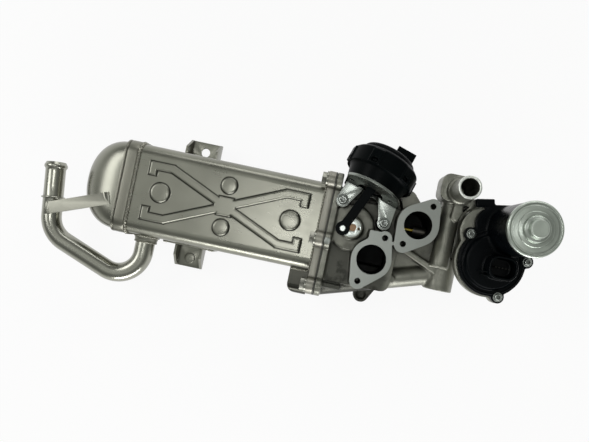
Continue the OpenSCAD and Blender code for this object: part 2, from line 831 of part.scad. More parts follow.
module rib_form() {
    junction = [knee_x - 10, 3];
    translate([0, 0, web_h[0]]) linear_extrude(web_h[1] - web_h[0])
        polygon([[12, coolant_y0 + 4], junction, [pillar_x, pillar_y[1]], [outlet_at[0], outlet_at[1] + 12]]);
    translate([0, 0, web_h[0]]) linear_extrude(brace_top - web_h[0]) bar([25, 14], junction + [4, -1.7], 5);
    translate([0, 0, web_h[1] - 4]) linear_extrude(14) bar([pillar_x, 56], [outlet_at[0] + 8, 42], 6);
    difference() {
        translate([0, 0, arm_h[0]]) linear_extrude(arm_h[1] - arm_h[0])
            polygon([[pillar_x, 46], [58, 66], [66, 64.5], [77, 64.5], [73, 58], [66, 52], [62, 43]]);
        translate([0, 0, arm_h[0] + 1.5]) linear_extrude(arm_h[1] - arm_h[0])
            polygon([[64.8, 50.6], [64.8, 57], [70, 58.2]]);
    }
    translate([0, 0, low_ear_h]) linear_extrude(ear_t) lobe([4, -15], 11, low_ear, ear_r);
    translate([0, 0, coolant_h]) linear_extrude(ear_t) lobe([outlet_at[0], 42], 9, high_ear, ear_r);
    translate([0, 0, shelf_h[0]]) linear_extrude(shelf_h[1] - shelf_h[0])
        polygon([[cast_x1 - 1, 38], [cast_x1 - 1, 53.5], [-12, 55], [8, 50], [19, 46], [16, 38]]);
}

module drive_form() {
    for (t = tab_at) translate([t[0], t[1], chest_h - 14]) cylinder(r = tab_r, h = boss_h - chest_h + 14);
    translate([flap_at[0], flap_at[1], chest_h - 4]) {
        cylinder(r = bush_r + 3.5, h = boss_h - chest_h + 4);
        cylinder(r = turret_r, h = turret_h - chest_h + 4);
    }
    stem_line(8, outlet_at[0] + 8, foot_x - 2);
    translate([foot_x - 9, foot_y[0], foot_h[0]])
        cube([9, foot_y[1] - foot_y[0], foot_h[1] - foot_h[0]]);
}

module gas_ways() {
    room_top = chest_h - chest_wall;
    translate([0, 0, room_top - eps]) cylinder(r = inlet_r, h = bore_len + 2 * eps);
    translate([cast_x0 - eps, low_room[0], room_floor])
        cube([15 - cast_x0, low_room[1] - low_room[0], room_top - room_floor]);
    translate([cast_x0 - eps, high_room[0], room_floor])
        cube([seat_x - cast_x0 + eps, high_room[1] - high_room[0], room_top - room_floor]);
    translate([flap_at[0] - shaft_r - 1, low_room[1] - eps, room_floor])
        cube([flap_len + shaft_r + 3, high_room[0] - low_room[1] + 2 * eps, room_top - room_floor]);
    translate([outlet_at[0], outlet_at[1], outlet_bore_h - eps])
        cylinder(r = outlet_r, h = port_h - outlet_bore_h + 2 * eps);
    translate([outlet_at[0], outlet_at[1], room_h]) cylinder(r = room_r, h = outlet_bore_h - room_h);
    stem_line(seat_r, seat_x - eps, outlet_at[0] - 8);
    stem_line(guide_r, outlet_at[0] + 8, guide_x1);
    stem_line(stem_r + 0.6, guide_x1 - eps, foot_x + eps);
}

module coolant_ways() {
    coolant_run(coolant_way_r, cast_x0 - 2, knee_x);
    along_y(knee_x, knee_h, coolant_way_r, knee_y[0] + 4, knee_y[1] - 3);
    translate([knee_x, 8, knee_h]) rotate([0, atan2(pillar_x - knee_x, pillar_h - knee_h), 0])
        cylinder(r = coolant_way_r - 2, h = norm([pillar_x - knee_x, pillar_h - knee_h]));
    along_y(pillar_x, pillar_h, coolant_way_r - 1, 8 - coolant_way_r + 2, hose_at[1]);
    translate([hose_at[0], hose_at[1], pillar_h - 3]) cylinder(r = hose_bore_r, h = hose_h);
}

module housing_holes() {
    along_x(cast_x0 - eps, cast_x1 + eps) for (b = bolts) translate(b) circle(bolt_r);
    for (p = concat(inlet_holes, outlet_holes))
        translate([p[0], p[1], port_h - tapped_len]) cylinder(r = tapped_r, h = tapped_len + eps);
    for (t = tab_at) translate([t[0], t[1], boss_h - 12]) cylinder(r = screw_r, h = 12 + eps);
    translate([flap_at[0], flap_at[1], chest_h - chest_wall - eps]) cylinder(r = bush_r, h = boss_h);
    translate([flap_at[0], flap_at[1], chest_floor + 1])
        cylinder(r = shaft_r + shaft_gap, h = room_floor - chest_floor);
    translate([low_ear[0], low_ear[1], low_ear_h - eps]) cylinder(r = ear_hole_r, h = ear_hole_len + eps);
    translate([low_ear[0], low_ear[1], low_ear_h + ear_t - ear_dish[1]])
        cylinder(r = ear_dish[0], h = ear_dish[1] + eps);
    translate([high_ear[0], high_ear[1], coolant_h - eps]) cylinder(r = ear_hole_r, h = ear_hole_len + eps);
    for (b = foot_bolts) translate([foot_x - 9 - eps, b[0], b[1]]) rotate([0, 90, 0])
        cylinder(r = bolt_r, h = 9 + 2 * eps);
}

module valve_housing() {
    color("darkgray") datum() difference() {
        union() {
            along_x(cast_x0, cast_x1) flange_outline();
            chest_form();
            port_form();
            coolant_form();
            rib_form();
            drive_form();
        }
        gas_ways();
        coolant_ways();
        housing_holes();
    }
}

// Bypass flap and its drive

module shaft_bush() {
    color("peru") datum() translate([flap_at[0], flap_at[1], chest_h - chest_wall]) difference() {
        cylinder(r = bush_r, h = boss_h - chest_h + chest_wall);
        translate([0, 0, -eps]) cylinder(r = shaft_r + shaft_gap, h = boss_h);
    }
}

module shaft_end(h) {
    linear_extrude(h) intersection() {
        circle(shaft_r);
        square([2 * shaft_r, 1.5 * shaft_r], center = true);
    }
}

flap_h = [room_floor + 1.5, chest_h - chest_wall - 1.5];

module bypass_shaft() {
    color("peru") datum() translate([flap_at[0], flap_at[1], 0]) {
        difference() {
            translate([0, 0, chest_floor + 1.3]) cylinder(r = shaft_r, h = lever_h - chest_floor - 1.3);
            translate([-shaft_r / 2, -flap_t / 2, flap_h[0]])
                cube([2 * shaft_r, flap_t, flap_h[1] - flap_h[0]]);
        }
        translate([0, 0, lever_h - touch]) shaft_end(lever_t + 1.2);
    }
}

module bypass_flap() {
    color("gray") datum() translate([flap_at[0] - shaft_r / 2, flap_at[1] - flap_t / 2, flap_h[0]])
        cube([flap_len + shaft_r / 2, flap_t, flap_h[1] - flap_h[0]]);
}

module bypass_lever() {
    color("lightgray") datum() translate([0, 0, lever_h]) difference() {
        linear_extrude(lever_t) lobe(flap_at, 7.5, pin_at, 4.6);
        translate([flap_at[0], flap_at[1], -eps]) shaft_end(lever_t + 2 * eps);
        translate([pin_at[0], pin_at[1], -eps]) cylinder(r = lever_pin_r, h = lever_t + 2 * eps);
        translate([flap_at[0] + 5.6, flap_at[1], -eps]) cylinder(r = 1.1, h = lever_t + 2 * eps);
    }
}

module lever_pin() {
    color("silver") datum() translate([pin_at[0], pin_at[1], lever_h]) {
        cylinder(r = lever_pin_r, h = rod_h + rod_t + 0.2 - lever_h);
        translate([0, 0, rod_h + rod_t + 0.2 - lever_h]) cylinder(r1 = lever_pin_r + 0.6, r2 = lever_pin_r, h = 1);
    }
}

module link_rod() {
    color("#202020") datum() translate([0, 0, rod_h]) difference() {
        linear_extrude(rod_t) {
            translate(pin_at) circle(eye_r);
            bar(pin_at, rod_end, rod_w);
        }
        translate([pin_at[0], pin_at[1], -eps]) cylinder(r = lever_pin_r + shaft_gap, h = rod_t + 2 * eps);
    }
}

// Vacuum actuator

module bracket_plate() {
    difference() {
        cylinder(r = plate_r, h = sheet_t);
        translate([-plate_r, plate_low, -eps]) cube([2 * plate_r, plate_r, sheet_t + 2 * eps]);
        translate([-plate_left - plate_r, -plate_r, -eps]) cube([plate_r, 2 * plate_r, sheet_t + 2 * eps]);
        translate([0, 0, -eps]) cylinder(r = rod_hole_r, h = sheet_t + 2 * eps);
        for (p = plate_holes) translate([p[0], p[1], -eps]) cylinder(r = 2.3, h = sheet_t + 2 * eps);
    }
}

// One foot of the bracket, from its screw to the plate
module bracket_tab(t, root) {
    difference() {
        union() {
            translate(t) circle(tab_r);
            polygon([t - [tab_r, 0], t + [tab_r, 0], [root[1], 0.5], [root[0], 0.5]]);
        }
        translate(t) circle(screw_r + 0.2);
    }
}

module actuator_bracket() {
    color("gainsboro") {
        vacuum_frame() bracket_plate();
        for (i = [0, 1]) vacuum_place() translate([0, 0, boss_h - vacuum_h])
            linear_extrude(sheet_t) bracket_tab(tabs[i], tab_roots[i]);
    }
}

module bracket_screws() {
    color("silver") datum() for (t = tab_at)
        translate([t[0], t[1], boss_h + sheet_t]) pan_screw(screw_r, sheet_t + 10, 3.4);
}

clips = 6;
clip_w = 9;
clip_turn = 10;

module at_clips() {
    for (i = [0 : clips - 1]) rotate(360 / clips * i + clip_turn) children();
}

module vacuum_can() {
    color("#181818") vacuum_frame() {
        rotate_extrude() polygon([[rod_hole_r, sheet_t], [nose_r - 1, sheet_t], [nose_r, sheet_t + 1],
            [can_r, joint_z - 5.5], [rim_r, joint_z - 4], [rim_r, joint_z], [can_r - can_t, joint_z],
            [nose_r - can_t, sheet_t + can_t], [rod_hole_r, sheet_t + can_t]]);
        at_clips() translate([rim_r - 1, -2, joint_z - 2.8]) cube([2.2, 4, 2]);
    }
}

module cap_form() {
    base_z = joint_z + film_t;
    skirt_top = base_z + 7;
    rotate_extrude() polygon(concat([[can_r - can_t, base_z], [rim_r + touch, base_z], [rim_r + touch, joint_z - 5],
        [skirt_r, joint_z - 5], [skirt_r, skirt_top], [skirt_r - 2, skirt_top + 2], [dome_r, skirt_top + 2.8]],
        [for (a = [0 : 15 : 90]) [dome_r - 4 + 4 * cos(a), cap_top - 4 + 4 * sin(a)]],
        [[0, cap_top], [0, cap_top - can_t], [dome_r - 4, cap_top - can_t], [dome_r - can_t, cap_top - 4],
            [dome_r - can_t, skirt_top + 0.5], [can_r - can_t, skirt_top - 1]]));
    at_clips() translate([rim_r + 0.6, -clip_w / 2, joint_z - 4.6])
        cube([skirt_r + 0.3 - rim_r, clip_w, skirt_top - joint_z + 4]);
}

module vacuum_cap() {
    color("#181818") vacuum_frame() {
        difference() {
            cap_form();
            at_clips() translate([rim_r - 1, -2.6, joint_z - 3.6]) cube([5, 5.2, 3.2]);
        }
        vacuum_port();
    }
}

// Moulded socket for the vacuum hose, open to the side, with its nipple
module vacuum_port() {
    size = [15.6, 12, 10.5];
    translate([2.1, -size[1] / 2, cap_top - 1]) difference() {
        cube(size);
        translate([7, 2, 2.6]) cube([size[0], size[1] - 4, size[2] - 4.4]);
    }
    translate([9, 0, cap_top - 1 + 2.6 + (size[2] - 4.4) / 2]) rotate([0, 90, 0]) difference() {
        cylinder(r = 2, h = 7);
        translate([0, 0, 1]) cylinder(r = 1, h = 7);
    }
}

module diaphragm() {
    top = piston_z + piston_t;
    color("#303030") vacuum_frame() rotate_extrude() polygon([[rim_r - 1, joint_z], [rim_r - 1, joint_z + film_t],
        [20.5, joint_z + film_t], [16, top + film_t], [10, top + film_t], [10, top], [16.4, top], [21, joint_z]]);
}

module piston_plate() {
    color("gray") vacuum_frame() rotate_extrude() polygon([[0, piston_z], [8.5, piston_z], [8.5, piston_z - 4],
        [10.4, piston_z - 4], [10.4, piston_z], [piston_r, piston_z], [piston_r, piston_z + piston_t],
        [6, piston_z + piston_t], [5.5, piston_z + piston_t + 2.5], [0, piston_z + piston_t + 2.5]]);
}

// Helical spring along z, its end turns closed to the given faces
module helix(r, wire, z0, z1, turns) {
    sides = 6;
    steps = 14 * turns;
    pitch_len = z1 - z0 - 2 * wire;
    points = [for (i = [0 : steps], k = [0 : sides - 1])
        let (a = 360 * turns * i / steps, b = 360 * k / sides, rr = r + wire * cos(b))
            [rr * cos(a), rr * sin(a), z0 + wire + pitch_len * i / steps + wire * sin(b)]];
    faces = concat([[for (k = [0 : sides - 1]) k]],
        [for (i = [0 : steps - 1], k = [0 : sides - 1])
            let (n = (k + 1) % sides, p = i * sides)
                [p + k, p + sides + k, p + sides + n, p + n]],
        [[for (k = [sides - 1 : -1 : 0]) steps * sides + k]]);
    polyhedron(points, faces);
}

module vacuum_spring() {
    color("silver") vacuum_frame()
        helix(8, 0.9, piston_z + piston_t + touch, cap_top - can_t - touch, 5);
}

// Recirculation valve: gear case

module case_outline() {
    translate(case_at) circle(case_r);
    translate(collar_at) circle(collar_r);
    lobe(idler_at, idler_room + 3, motor_at, 13);
    for (p = case_screws) translate(p) circle(screw_lobe_r);
}

module seal_outline() {
    translate(case_at) circle(case_r - 2);
    lobe(idler_at, idler_room + 2.5, motor_at, 12.5);
    for (p = case_screws) translate(p) circle(screw_lobe_r - 0.6);
}

module gear_room_plan() {
    translate(case_at) circle(case_r - case_wall);
    lobe(idler_at, idler_room, motor_at, 7);
}

module gear_case() {
    dish_h = gear_floor - 3;
    body_w = yoke_w + 10;
    room_w = yoke_w + 2;
    color("darkgray") datum() difference() {
        union() {
            translate([0, 0, dish_h]) linear_extrude(case_h - dish_h) case_outline();
            translate([foot_x + foot_t - 1, stem_y - body_w / 2, case_body_h])
                cube([yoke_room[1] - yoke_room[0] + 9, body_w, dish_h - case_body_h + eps]);
            translate([foot_x, foot_y[0], foot_h[0]])
                cube([foot_t, foot_y[1] - foot_y[0], foot_h[1] - foot_h[0]]);
        }
        translate([0, 0, gear_floor]) linear_extrude(gear_room + eps) gear_room_plan();
        translate([yoke_room[0], stem_y - room_w / 2, stem_h - yoke_d / 2 - 1])
            cube([yoke_room[1] - yoke_room[0], room_w, dish_h - stem_h + yoke_d / 2 + 1]);
        translate([output_at[0] - valve_stroke / 2 - crank_pin_r - 1, crank_at[1] - crank_pin_r - 0.7, dish_h - eps])
            cube([valve_stroke + 2 * crank_pin_r + 2, 2 * crank_pin_r + 2.2, 3 + 2 * eps]);
        stem_line(stem_r + 0.3, foot_x - eps, yoke_room[0] + eps);
        stem_line(spring_room_r, spring_x0, yoke_room[0] + eps);
        translate([output_at[0], output_at[1], dish_h - eps]) cylinder(r = output_pin_r, h = 3 + 2 * eps);
        translate([idler_at[0], idler_at[1], dish_h - eps]) cylinder(r = idler_pin_r, h = 3 + 2 * eps);
        for (p = case_screws) translate([p[0], p[1], dish_h + 1]) cylinder(r = cover_screw_r, h = case_h);
        for (b = foot_bolts) translate([foot_x - eps, b[0], b[1]]) rotate([0, 90, 0])
            cylinder(r = bolt_r + 0.3, h = foot_t + 2 * eps);
    }
}

module case_bolts() {
    color("silver") datum() for (b = foot_bolts)
        translate([foot_x + foot_t, b[0], b[1]]) rotate([0, 90, 0]) hex_bolt(bolt_r, foot_t + 9, bolt_head_h);
}

module cover_seal() {
    color("#202020") datum() translate([0, 0, case_h]) linear_extrude(seal_t) difference() {
        seal_outline();
        gear_room_plan();
        for (p = case_screws) translate(p) circle(cover_screw_r + 0.2);
    }
}

// Moulded cover with the motor tube and the connector

module cover_outline() {
    translate(case_at) circle(case_r - 1.5);
    translate(motor_at + [-18, 1.7]) circle(13);
    lobe(idler_at, idler_room + 3, motor_at, motor_tube_r);
    for (p = case_screws) translate(p) circle(screw_lobe_r - 0.3);
    polygon([motor_at + [-2, motor_tube_r], motor_at + [-20, 17], motor_at + [-22, 2], motor_at]);
    translate(motor_at + [-33, 12.5]) rotate(11) square([15, 6.5]);
}

module plug_profile(inset) {
    rounded([plug_size[0] - 2 * inset, plug_size[1] - 2 * inset], 8 - inset);
}

module gear_cover() {
    color("#15171a") datum() difference() {
        union() {
            translate([0, 0, cover_h]) linear_extrude(cover_t) cover_outline();
            translate([case_at[0], case_at[1], cover_top - eps]) cylinder(r1 = 22.5, r2 = 20.5, h = 3.5 + eps);
            translate([motor_at[0], motor_at[1], cover_h]) cylinder(r = motor_tube_r, h = motor_h - cover_h);
            translate([plug_at[0], plug_at[1], cover_top - eps])
                linear_extrude(plug_h - cover_top + eps) plug_profile(0);
        }
        translate([0, 0, cover_h - eps]) linear_extrude(cover_t - 2 + eps) gear_room_plan();
        translate([motor_at[0], motor_at[1], cover_h - eps]) cylinder(r = 5, h = motor_h);
        translate([motor_at[0], motor_at[1], motor_floor]) cylinder(r = motor_r + touch, h = motor_h);
        translate([plug_at[0], plug_at[1], socket_h]) linear_extrude(plug_h) plug_profile(plug_wall);
        for (i = [-2 : 2]) translate([plug_at[0] + 2.5 * i - 0.6, plug_at[1] - 0.4, socket_h - pin_root])
            cube([1.2, 0.8, pin_root + 1]);
        for (p = case_screws) translate([p[0], p[1], cover_h - eps]) cylinder(r = cover_screw_r + 0.2, h = cover_t + 2 * eps);
    }
}

module cover_screws() {
    color("silver") datum() for (p = case_screws)
        translate([p[0], p[1], cover_top]) pan_screw(cover_screw_r, cover_t + seal_t + 8, 3);
}

module connector_pins() {
    color("goldenrod") datum() for (i = [-2 : 2])
        translate([plug_at[0] + 2.5 * i - 0.6, plug_at[1] - 0.4, socket_h - pin_root])
            cube([1.2, 0.8, plug_h - pin_set - socket_h + pin_root]);
}

// Motor

module motor_can() {
    rim = motor_tube_r + 0.2;
    color("silver") datum() translate([motor_at[0], motor_at[1], 0]) rotate_extrude() polygon([
        [motor_r, motor_floor], [motor_r, motor_h], [rim, motor_h], [rim, motor_h + 3.6], [rim - 0.9, motor_h + 4.5],
        [12.4, motor_h + 4.5], [11, motor_h + 8.6], [9.3, motor_h + 9.2], [6.6, motor_h + 13.4], [5.6, motor_h + 14],
        [0, motor_h + 14], [0, motor_h + 13], [5.4, motor_h + 13], [8.5, motor_h + 8.2], [10.2, motor_h + 7.8],
        [11.6, motor_h + 3.5], [motor_r - motor_wall, motor_h + 3.5], [motor_r - motor_wall, motor_floor]]);
}

module motor_end_plate() {
    color("gray") datum() translate([motor_at[0], motor_at[1], motor_floor]) difference() {
        cylinder(r = motor_r - motor_wall, h = 2);
        translate([0, 0, -eps]) cylinder(r = motor_shaft_r + gear_gap, h = 2 + 2 * eps);
    }
}

magnet_r = motor_r - motor_wall;
armature_r = magnet_r - 3.8;
armature_h = [motor_floor + 10, motor_h - 8];

module motor_magnets() {
    color("dimgray") datum() translate([motor_at[0], motor_at[1], armature_h[0] - 2]) difference() {
        cylinder(r = magnet_r, h = armature_h[1] - armature_h[0] + 4);
        translate([0, 0, -eps]) cylinder(r = armature_r + 0.6, h = motor_h);
        translate([-magnet_r - eps, -4, -eps]) cube([2 * magnet_r + 2 * eps, 8, motor_h]);
    }
}

module motor_armature() {
    color("peru") datum() translate([motor_at[0], motor_at[1], armature_h[0]]) difference() {
        union() {
            cylinder(r = armature_r, h = armature_h[1] - armature_h[0]);
            translate([0, 0, -6]) cylinder(r = 5, h = 6.5);
        }
        translate([0, 0, -6 - eps]) cylinder(r = motor_shaft_r, h = motor_h);
        for (i = [0 : 4]) rotate(72 * i) translate([armature_r - 5, -0.8, -eps])
            cube([6, 1.6, armature_h[1] - armature_h[0] + 2 * eps]);
    }
}

module motor_shaft() {
    color("silver") datum() translate([motor_at[0], motor_at[1], fast_h - 0.6])
        cylinder(r = motor_shaft_r, h = motor_h + 12 - fast_h);
}

// Gears

function involute(base, r) = let (t = sqrt(max(r * r / (base * base) - 1, 0))) 180 / PI * t - atan(t);

// Tooth profile with stub teeth, tooth 0 centred on +X
function tooth_points(m, teeth) =
    let (r = m * teeth / 2, base = r * cos(25), tip = r + 0.7 * m, root = r - 0.95 * m,
        half = 90 / teeth - 180 / PI * 0.05 / r,
        at = function (q) half + involute(base, r) - involute(base, max(q, base)),
        radii = [root, max(base, root), r, tip])
    concat([for (q = radii) [q, -at(q)]], [for (i = [3 : -1 : 0]) [radii[i], at(radii[i])]]);

module gear_plan(m, teeth, first, count) {
    polygon([for (i = [0 : count - 1], p = tooth_points(m, teeth))
        p[0] * [cos(p[1] + first + 360 * i / teeth), sin(p[1] + first + 360 * i / teeth)]]);
}

module motor_pinion() {
    color("goldenrod") datum() translate([motor_at[0], motor_at[1], fast_h - 0.3]) difference() {
        linear_extrude(fast_t + 0.6) gear_plan(module_fast, pinion_teeth, idler_dir, pinion_teeth);
        translate([0, 0, -eps]) cylinder(r = motor_shaft_r, h = fast_t + 2);
    }
}

module idler_gear() {
    color("ivory") datum() translate([idler_at[0], idler_at[1], 0]) difference() {
        union() {
            translate([0, 0, fast_h]) linear_extrude(fast_t)
                gear_plan(module_fast, idler_teeth, idler_dir + 180 + 180 / idler_teeth, idler_teeth);
            translate([0, 0, slow_h]) linear_extrude(fast_h - slow_h + eps)
                gear_plan(module_slow, idler_small_teeth, output_dir, idler_small_teeth);
        }
        translate([0, 0, gear_floor]) cylinder(r = idler_pin_r + gear_gap, h = 2 * gear_room);
    }
}

module idler_pin() {
    color("silver") datum() translate([idler_at[0], idler_at[1], gear_floor - 3])
        cylinder(r = idler_pin_r, h = fast_h + fast_t + 1.5 - gear_floor + 3);
}

sector_teeth = 13;

module output_gear() {
    sector_from = output_dir + 180 + 180 / output_teeth - 360 / output_teeth * 3;
    color("ivory") datum() difference() {
        union() {
            translate([output_at[0], output_at[1], slow_h]) linear_extrude(slow_t) {
                intersection() {
                    gear_plan(module_slow, output_teeth, sector_from, output_teeth);
                    rotate(sector_from) polygon([[0, 0], 3 * output_tip * [cos(-8), sin(-8)],
                        3 * output_tip * [cos(60), sin(60)],
                        3 * output_tip * [cos(360 / output_teeth * sector_teeth), sin(360 / output_teeth * sector_teeth)]]);
                }
                circle(crank_r + roller_r);
            }
            translate([crank_at[0], crank_at[1], stem_h - yoke_d / 2]) cylinder(r = crank_pin_r, h = slow_h - stem_h + yoke_d);
        }
        translate([output_at[0], output_at[1], slow_h - eps]) cylinder(r = output_pin_r + gear_gap, h = slow_t + 2 * eps);
        translate([crank_at[0], crank_at[1], slow_h + slow_t]) cylinder(r = roller_r, h = yoke_d);
    }
}

module output_pin() {
    color("silver") datum() translate([output_at[0], output_at[1], gear_floor - 3])
        cylinder(r = output_pin_r, h = slow_t + 3 + 3);
}

module crank_roller() {
    color("ivory") datum() translate([crank_at[0], crank_at[1], stem_h - yoke_d / 2]) difference() {
        cylinder(r = roller_r, h = yoke_d);
        translate([0, 0, -eps]) cylinder(r = crank_pin_r + gear_gap, h = yoke_d + 2 * eps);
    }
}

// Poppet valve

stem_grip = 2.5;

module stem_yoke() {
    color("gray") datum() difference() {
        translate([yoke_x0, stem_y - yoke_w / 2, stem_h - yoke_d / 2]) cube([yoke_len, yoke_w, yoke_d]);
        translate([yoke_x0 + yoke_wall, stem_y - yoke_w / 2 + 2, stem_h - yoke_d])
            cube([yoke_slot, yoke_w - 4, 2 * yoke_d]);
        stem_line(stem_r, yoke_x0 - eps, yoke_x0 + stem_grip);
    }
}

module valve_stem() { color("goldenrod") datum() stem_line(stem_r, seat_x - 3.5, yoke_x0 + stem_grip); }

module valve_disc() {
    color("gray") datum() translate([seat_x - touch, stem_y, stem_h]) rotate([0, -90, 0]) difference() {
        union() {
            cylinder(r = disc_r, h = 2);
            translate([0, 0, 2]) cylinder(r1 = disc_r - 1, r2 = 3, h = 1);
        }
        translate([0, 0, -eps]) cylinder(r = stem_r, h = 6);
    }
}

module valve_seat() {
    color("silver") datum() difference() {
        stem_line(seat_r, seat_x, seat_x + seat_len);
        stem_line(disc_r - 1.6, seat_x - eps, seat_x + seat_len + eps);
    }
}

module stem_guide() {
    color("darkgray") datum() difference() {
        stem_line(guide_r, guide_x0, guide_x1);
        stem_line(stem_r + gear_gap, guide_x0 - eps, guide_x1 + eps);
    }
}

module valve_spring() {
    color("silver") datum() translate([0, stem_y, stem_h]) rotate([0, 90, 0])
        helix(3.8, 0.8, spring_x0 + touch, yoke_x0 - touch, 5);
}

shell_front();
shell_rear();
end_band();
end_tank();
rear_header();
front_header();
gas_tubes();
cooler_flange();
coolant_pipe();
pipe_ferrule();
pipe_strap();
upper_bracket();
lower_bracket();
coolant_pocket();
flange_gasket();
flange_bolts();
valve_housing();
shaft_bush();
bypass_shaft();
bypass_flap();
bypass_lever();
lever_pin();
link_rod();
actuator_bracket();
bracket_screws();
vacuum_can();
vacuum_cap();
diaphragm();
piston_plate();
vacuum_spring();
gear_case();
case_bolts();
cover_seal();
gear_cover();
cover_screws();
connector_pins();
motor_can();
motor_end_plate();
motor_magnets();
motor_armature();
motor_shaft();
motor_pinion();
idler_gear();
idler_pin();
output_gear();
output_pin();
crank_roller();
stem_yoke();
valve_stem();
valve_disc();
valve_seat();
stem_guide();
valve_spring();
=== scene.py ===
"""Looks of an exhaust gas cooler module: stainless core, bent coolant pipe, cast housing with two gas
ports, vacuum canister and valve motor. Everything is in metres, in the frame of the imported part."""

import math

import bpy
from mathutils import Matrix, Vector


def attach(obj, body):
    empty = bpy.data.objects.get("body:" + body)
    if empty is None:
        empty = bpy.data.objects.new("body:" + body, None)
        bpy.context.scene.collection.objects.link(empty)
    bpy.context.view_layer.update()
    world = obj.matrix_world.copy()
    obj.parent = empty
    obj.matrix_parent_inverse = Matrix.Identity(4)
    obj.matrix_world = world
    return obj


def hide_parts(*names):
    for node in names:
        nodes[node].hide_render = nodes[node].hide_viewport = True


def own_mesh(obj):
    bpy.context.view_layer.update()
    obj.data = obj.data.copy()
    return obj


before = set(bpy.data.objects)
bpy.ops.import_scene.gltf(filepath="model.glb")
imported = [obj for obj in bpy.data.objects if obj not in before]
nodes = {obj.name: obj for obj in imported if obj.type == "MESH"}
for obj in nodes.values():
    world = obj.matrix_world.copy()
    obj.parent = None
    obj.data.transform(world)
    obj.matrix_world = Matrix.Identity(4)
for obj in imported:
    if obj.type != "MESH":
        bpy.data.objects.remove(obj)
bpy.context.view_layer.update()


# Core shells
# Two half shells drawn from stainless sheet, each with a pressed cross, four hooked arms and
# four round pads on its panel. The sheet is satin, with faint rolling lines and handling marks.


class Flow:
    """A socket of a material, on which sums and products add Math nodes."""

    def __init__(self, tree, socket):
        self.tree = tree
        self.socket = socket

    def math(self, operation, first, second):
        made = self.tree.nodes.new("ShaderNodeMath")
        made.operation = operation
        plug(self.tree, made.inputs[0], first)
        plug(self.tree, made.inputs[1], second)
        return Flow(self.tree, made.outputs[0])

    def __add__(self, other):
        return self.math("ADD", self, other)

    def __radd__(self, other):
        return self.math("ADD", other, self)

    def __sub__(self, other):
        return self.math("SUBTRACT", self, other)

    def __rsub__(self, other):
        return self.math("SUBTRACT", other, self)

    def __mul__(self, other):
        return self.math("MULTIPLY", self, other)

    def __rmul__(self, other):
        return self.math("MULTIPLY", other, self)


def plug(tree, socket, value):
    if isinstance(value, Flow):
        tree.links.new(value.socket, socket)
    else:
        socket.default_value = value


class Finish:
    """A material under construction, with one method for every kind of node."""

    def __init__(self, name, **surface):
        self.material = bpy.data.materials.new(name)
        self.material.use_nodes = True
        self.tree = self.material.node_tree
        self.shader = self.tree.nodes["Principled BSDF"]
        self.place = self.node("TexCoord", output="Object")
        self.set(surface)

    def node(self, kind, settings=None, sockets=None, output=0):
        made = self.tree.nodes.new("ShaderNode" + kind)
        for name, value in (settings or {}).items():
            setattr(made, name, value)
        for name, value in (sockets or {}).items():
            plug(self.tree, made.inputs[name], value)
        return Flow(self.tree, made.outputs[output])

    def set(self, surface):
        for name, value in surface.items():
            plug(self.tree, self.shader.inputs[name.replace("_", " ").title()], value)

    def noise(self, size, detail=3.0, stretch=(1, 1, 1), rough=0.5):
        at = self.node("Mapping", sockets={"Vector": self.place, "Scale": stretch})
        grain = {"Vector": at, "Scale": 1 / size, "Detail": detail, "Roughness": rough}
        return self.node("TexNoise", sockets=grain)

    def band(self, value, low, high):
        span = {"Value": value, "From Min": low, "From Max": high}
        return self.node("MapRange", {"interpolation_type": "SMOOTHSTEP"}, span)

    def crease_shade_mask(self, reach, low, high):
        """1 in the creases of the piece and 0 on open faces: a mask for painted shade where shade falls.
        """
        own_faces = {"samples": 16, "only_local": True}
        openness = self.node("AmbientOcclusion", own_faces, {"Distance": reach}, output="AO")
        return 1.0 - self.band(openness, low, high)

    def mix(self, amount, first, second):
        pair = {"Factor": amount, 6: first, 7: second}
        return self.node("Mix", {"data_type": "RGBA"}, pair, output=2)

    def relief(self, *layers):
        """One bump layer over the other, for each height and depth."""
        under = {}
        for height, depth in layers:
            steps = {"Height": height, "Distance": depth, "Strength": 1.0}
            under = {"Normal": self.node("Bump", sockets=steps | under)}
        self.set(under)


def tone(red, green, blue, share=1.0):
    """A colour, or a share of it, with full alpha."""
    return (red * share, green * share, blue * share, 1)


def alone(*pieces):
    """Selects these pieces and nothing else."""
    bpy.ops.object.select_all(action="DESELECT")
    for piece in pieces:
        piece.select_set(True)
    bpy.context.view_layer.objects.active = pieces[0]


def dress(finish, *names):
    """Gives solids that stay as they are their finish."""
    for name in names:
        slots = nodes[name].data.materials
        slots.clear()
        slots.append(finish.material)


def keep(piece, finish, slot, *stands_for, body="housing"):
    """Gives a new piece its finish and its body, and hides the solids it stands for."""
    if finish:
        piece.data.materials.clear()
        piece.data.materials.append(finish.material)
    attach(piece, body)
    if stands_for:
        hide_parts(*stands_for)


def shape(piece, kind, **settings):
    """Adds one modifier and applies it."""
    alone(piece)
    made = piece.modifiers.new(kind.lower(), kind)
    for name, value in settings.items():
        setattr(made, name, value)
    bpy.ops.object.modifier_apply(modifier=made.name)


def edit(piece, *steps):
    """Runs mesh operators on the whole piece."""
    alone(piece)
    bpy.ops.object.mode_set(mode="EDIT")
    bpy.ops.mesh.select_all(action="SELECT")
    for step, settings in steps:
        step(**settings)
    bpy.ops.object.mode_set(mode="OBJECT")


def soften(piece, degrees=40):
    """Shades a piece smooth, apart from edges sharper than this."""
    alone(piece)
    bpy.ops.object.shade_smooth_by_angle(angle=math.radians(degrees))
    return piece


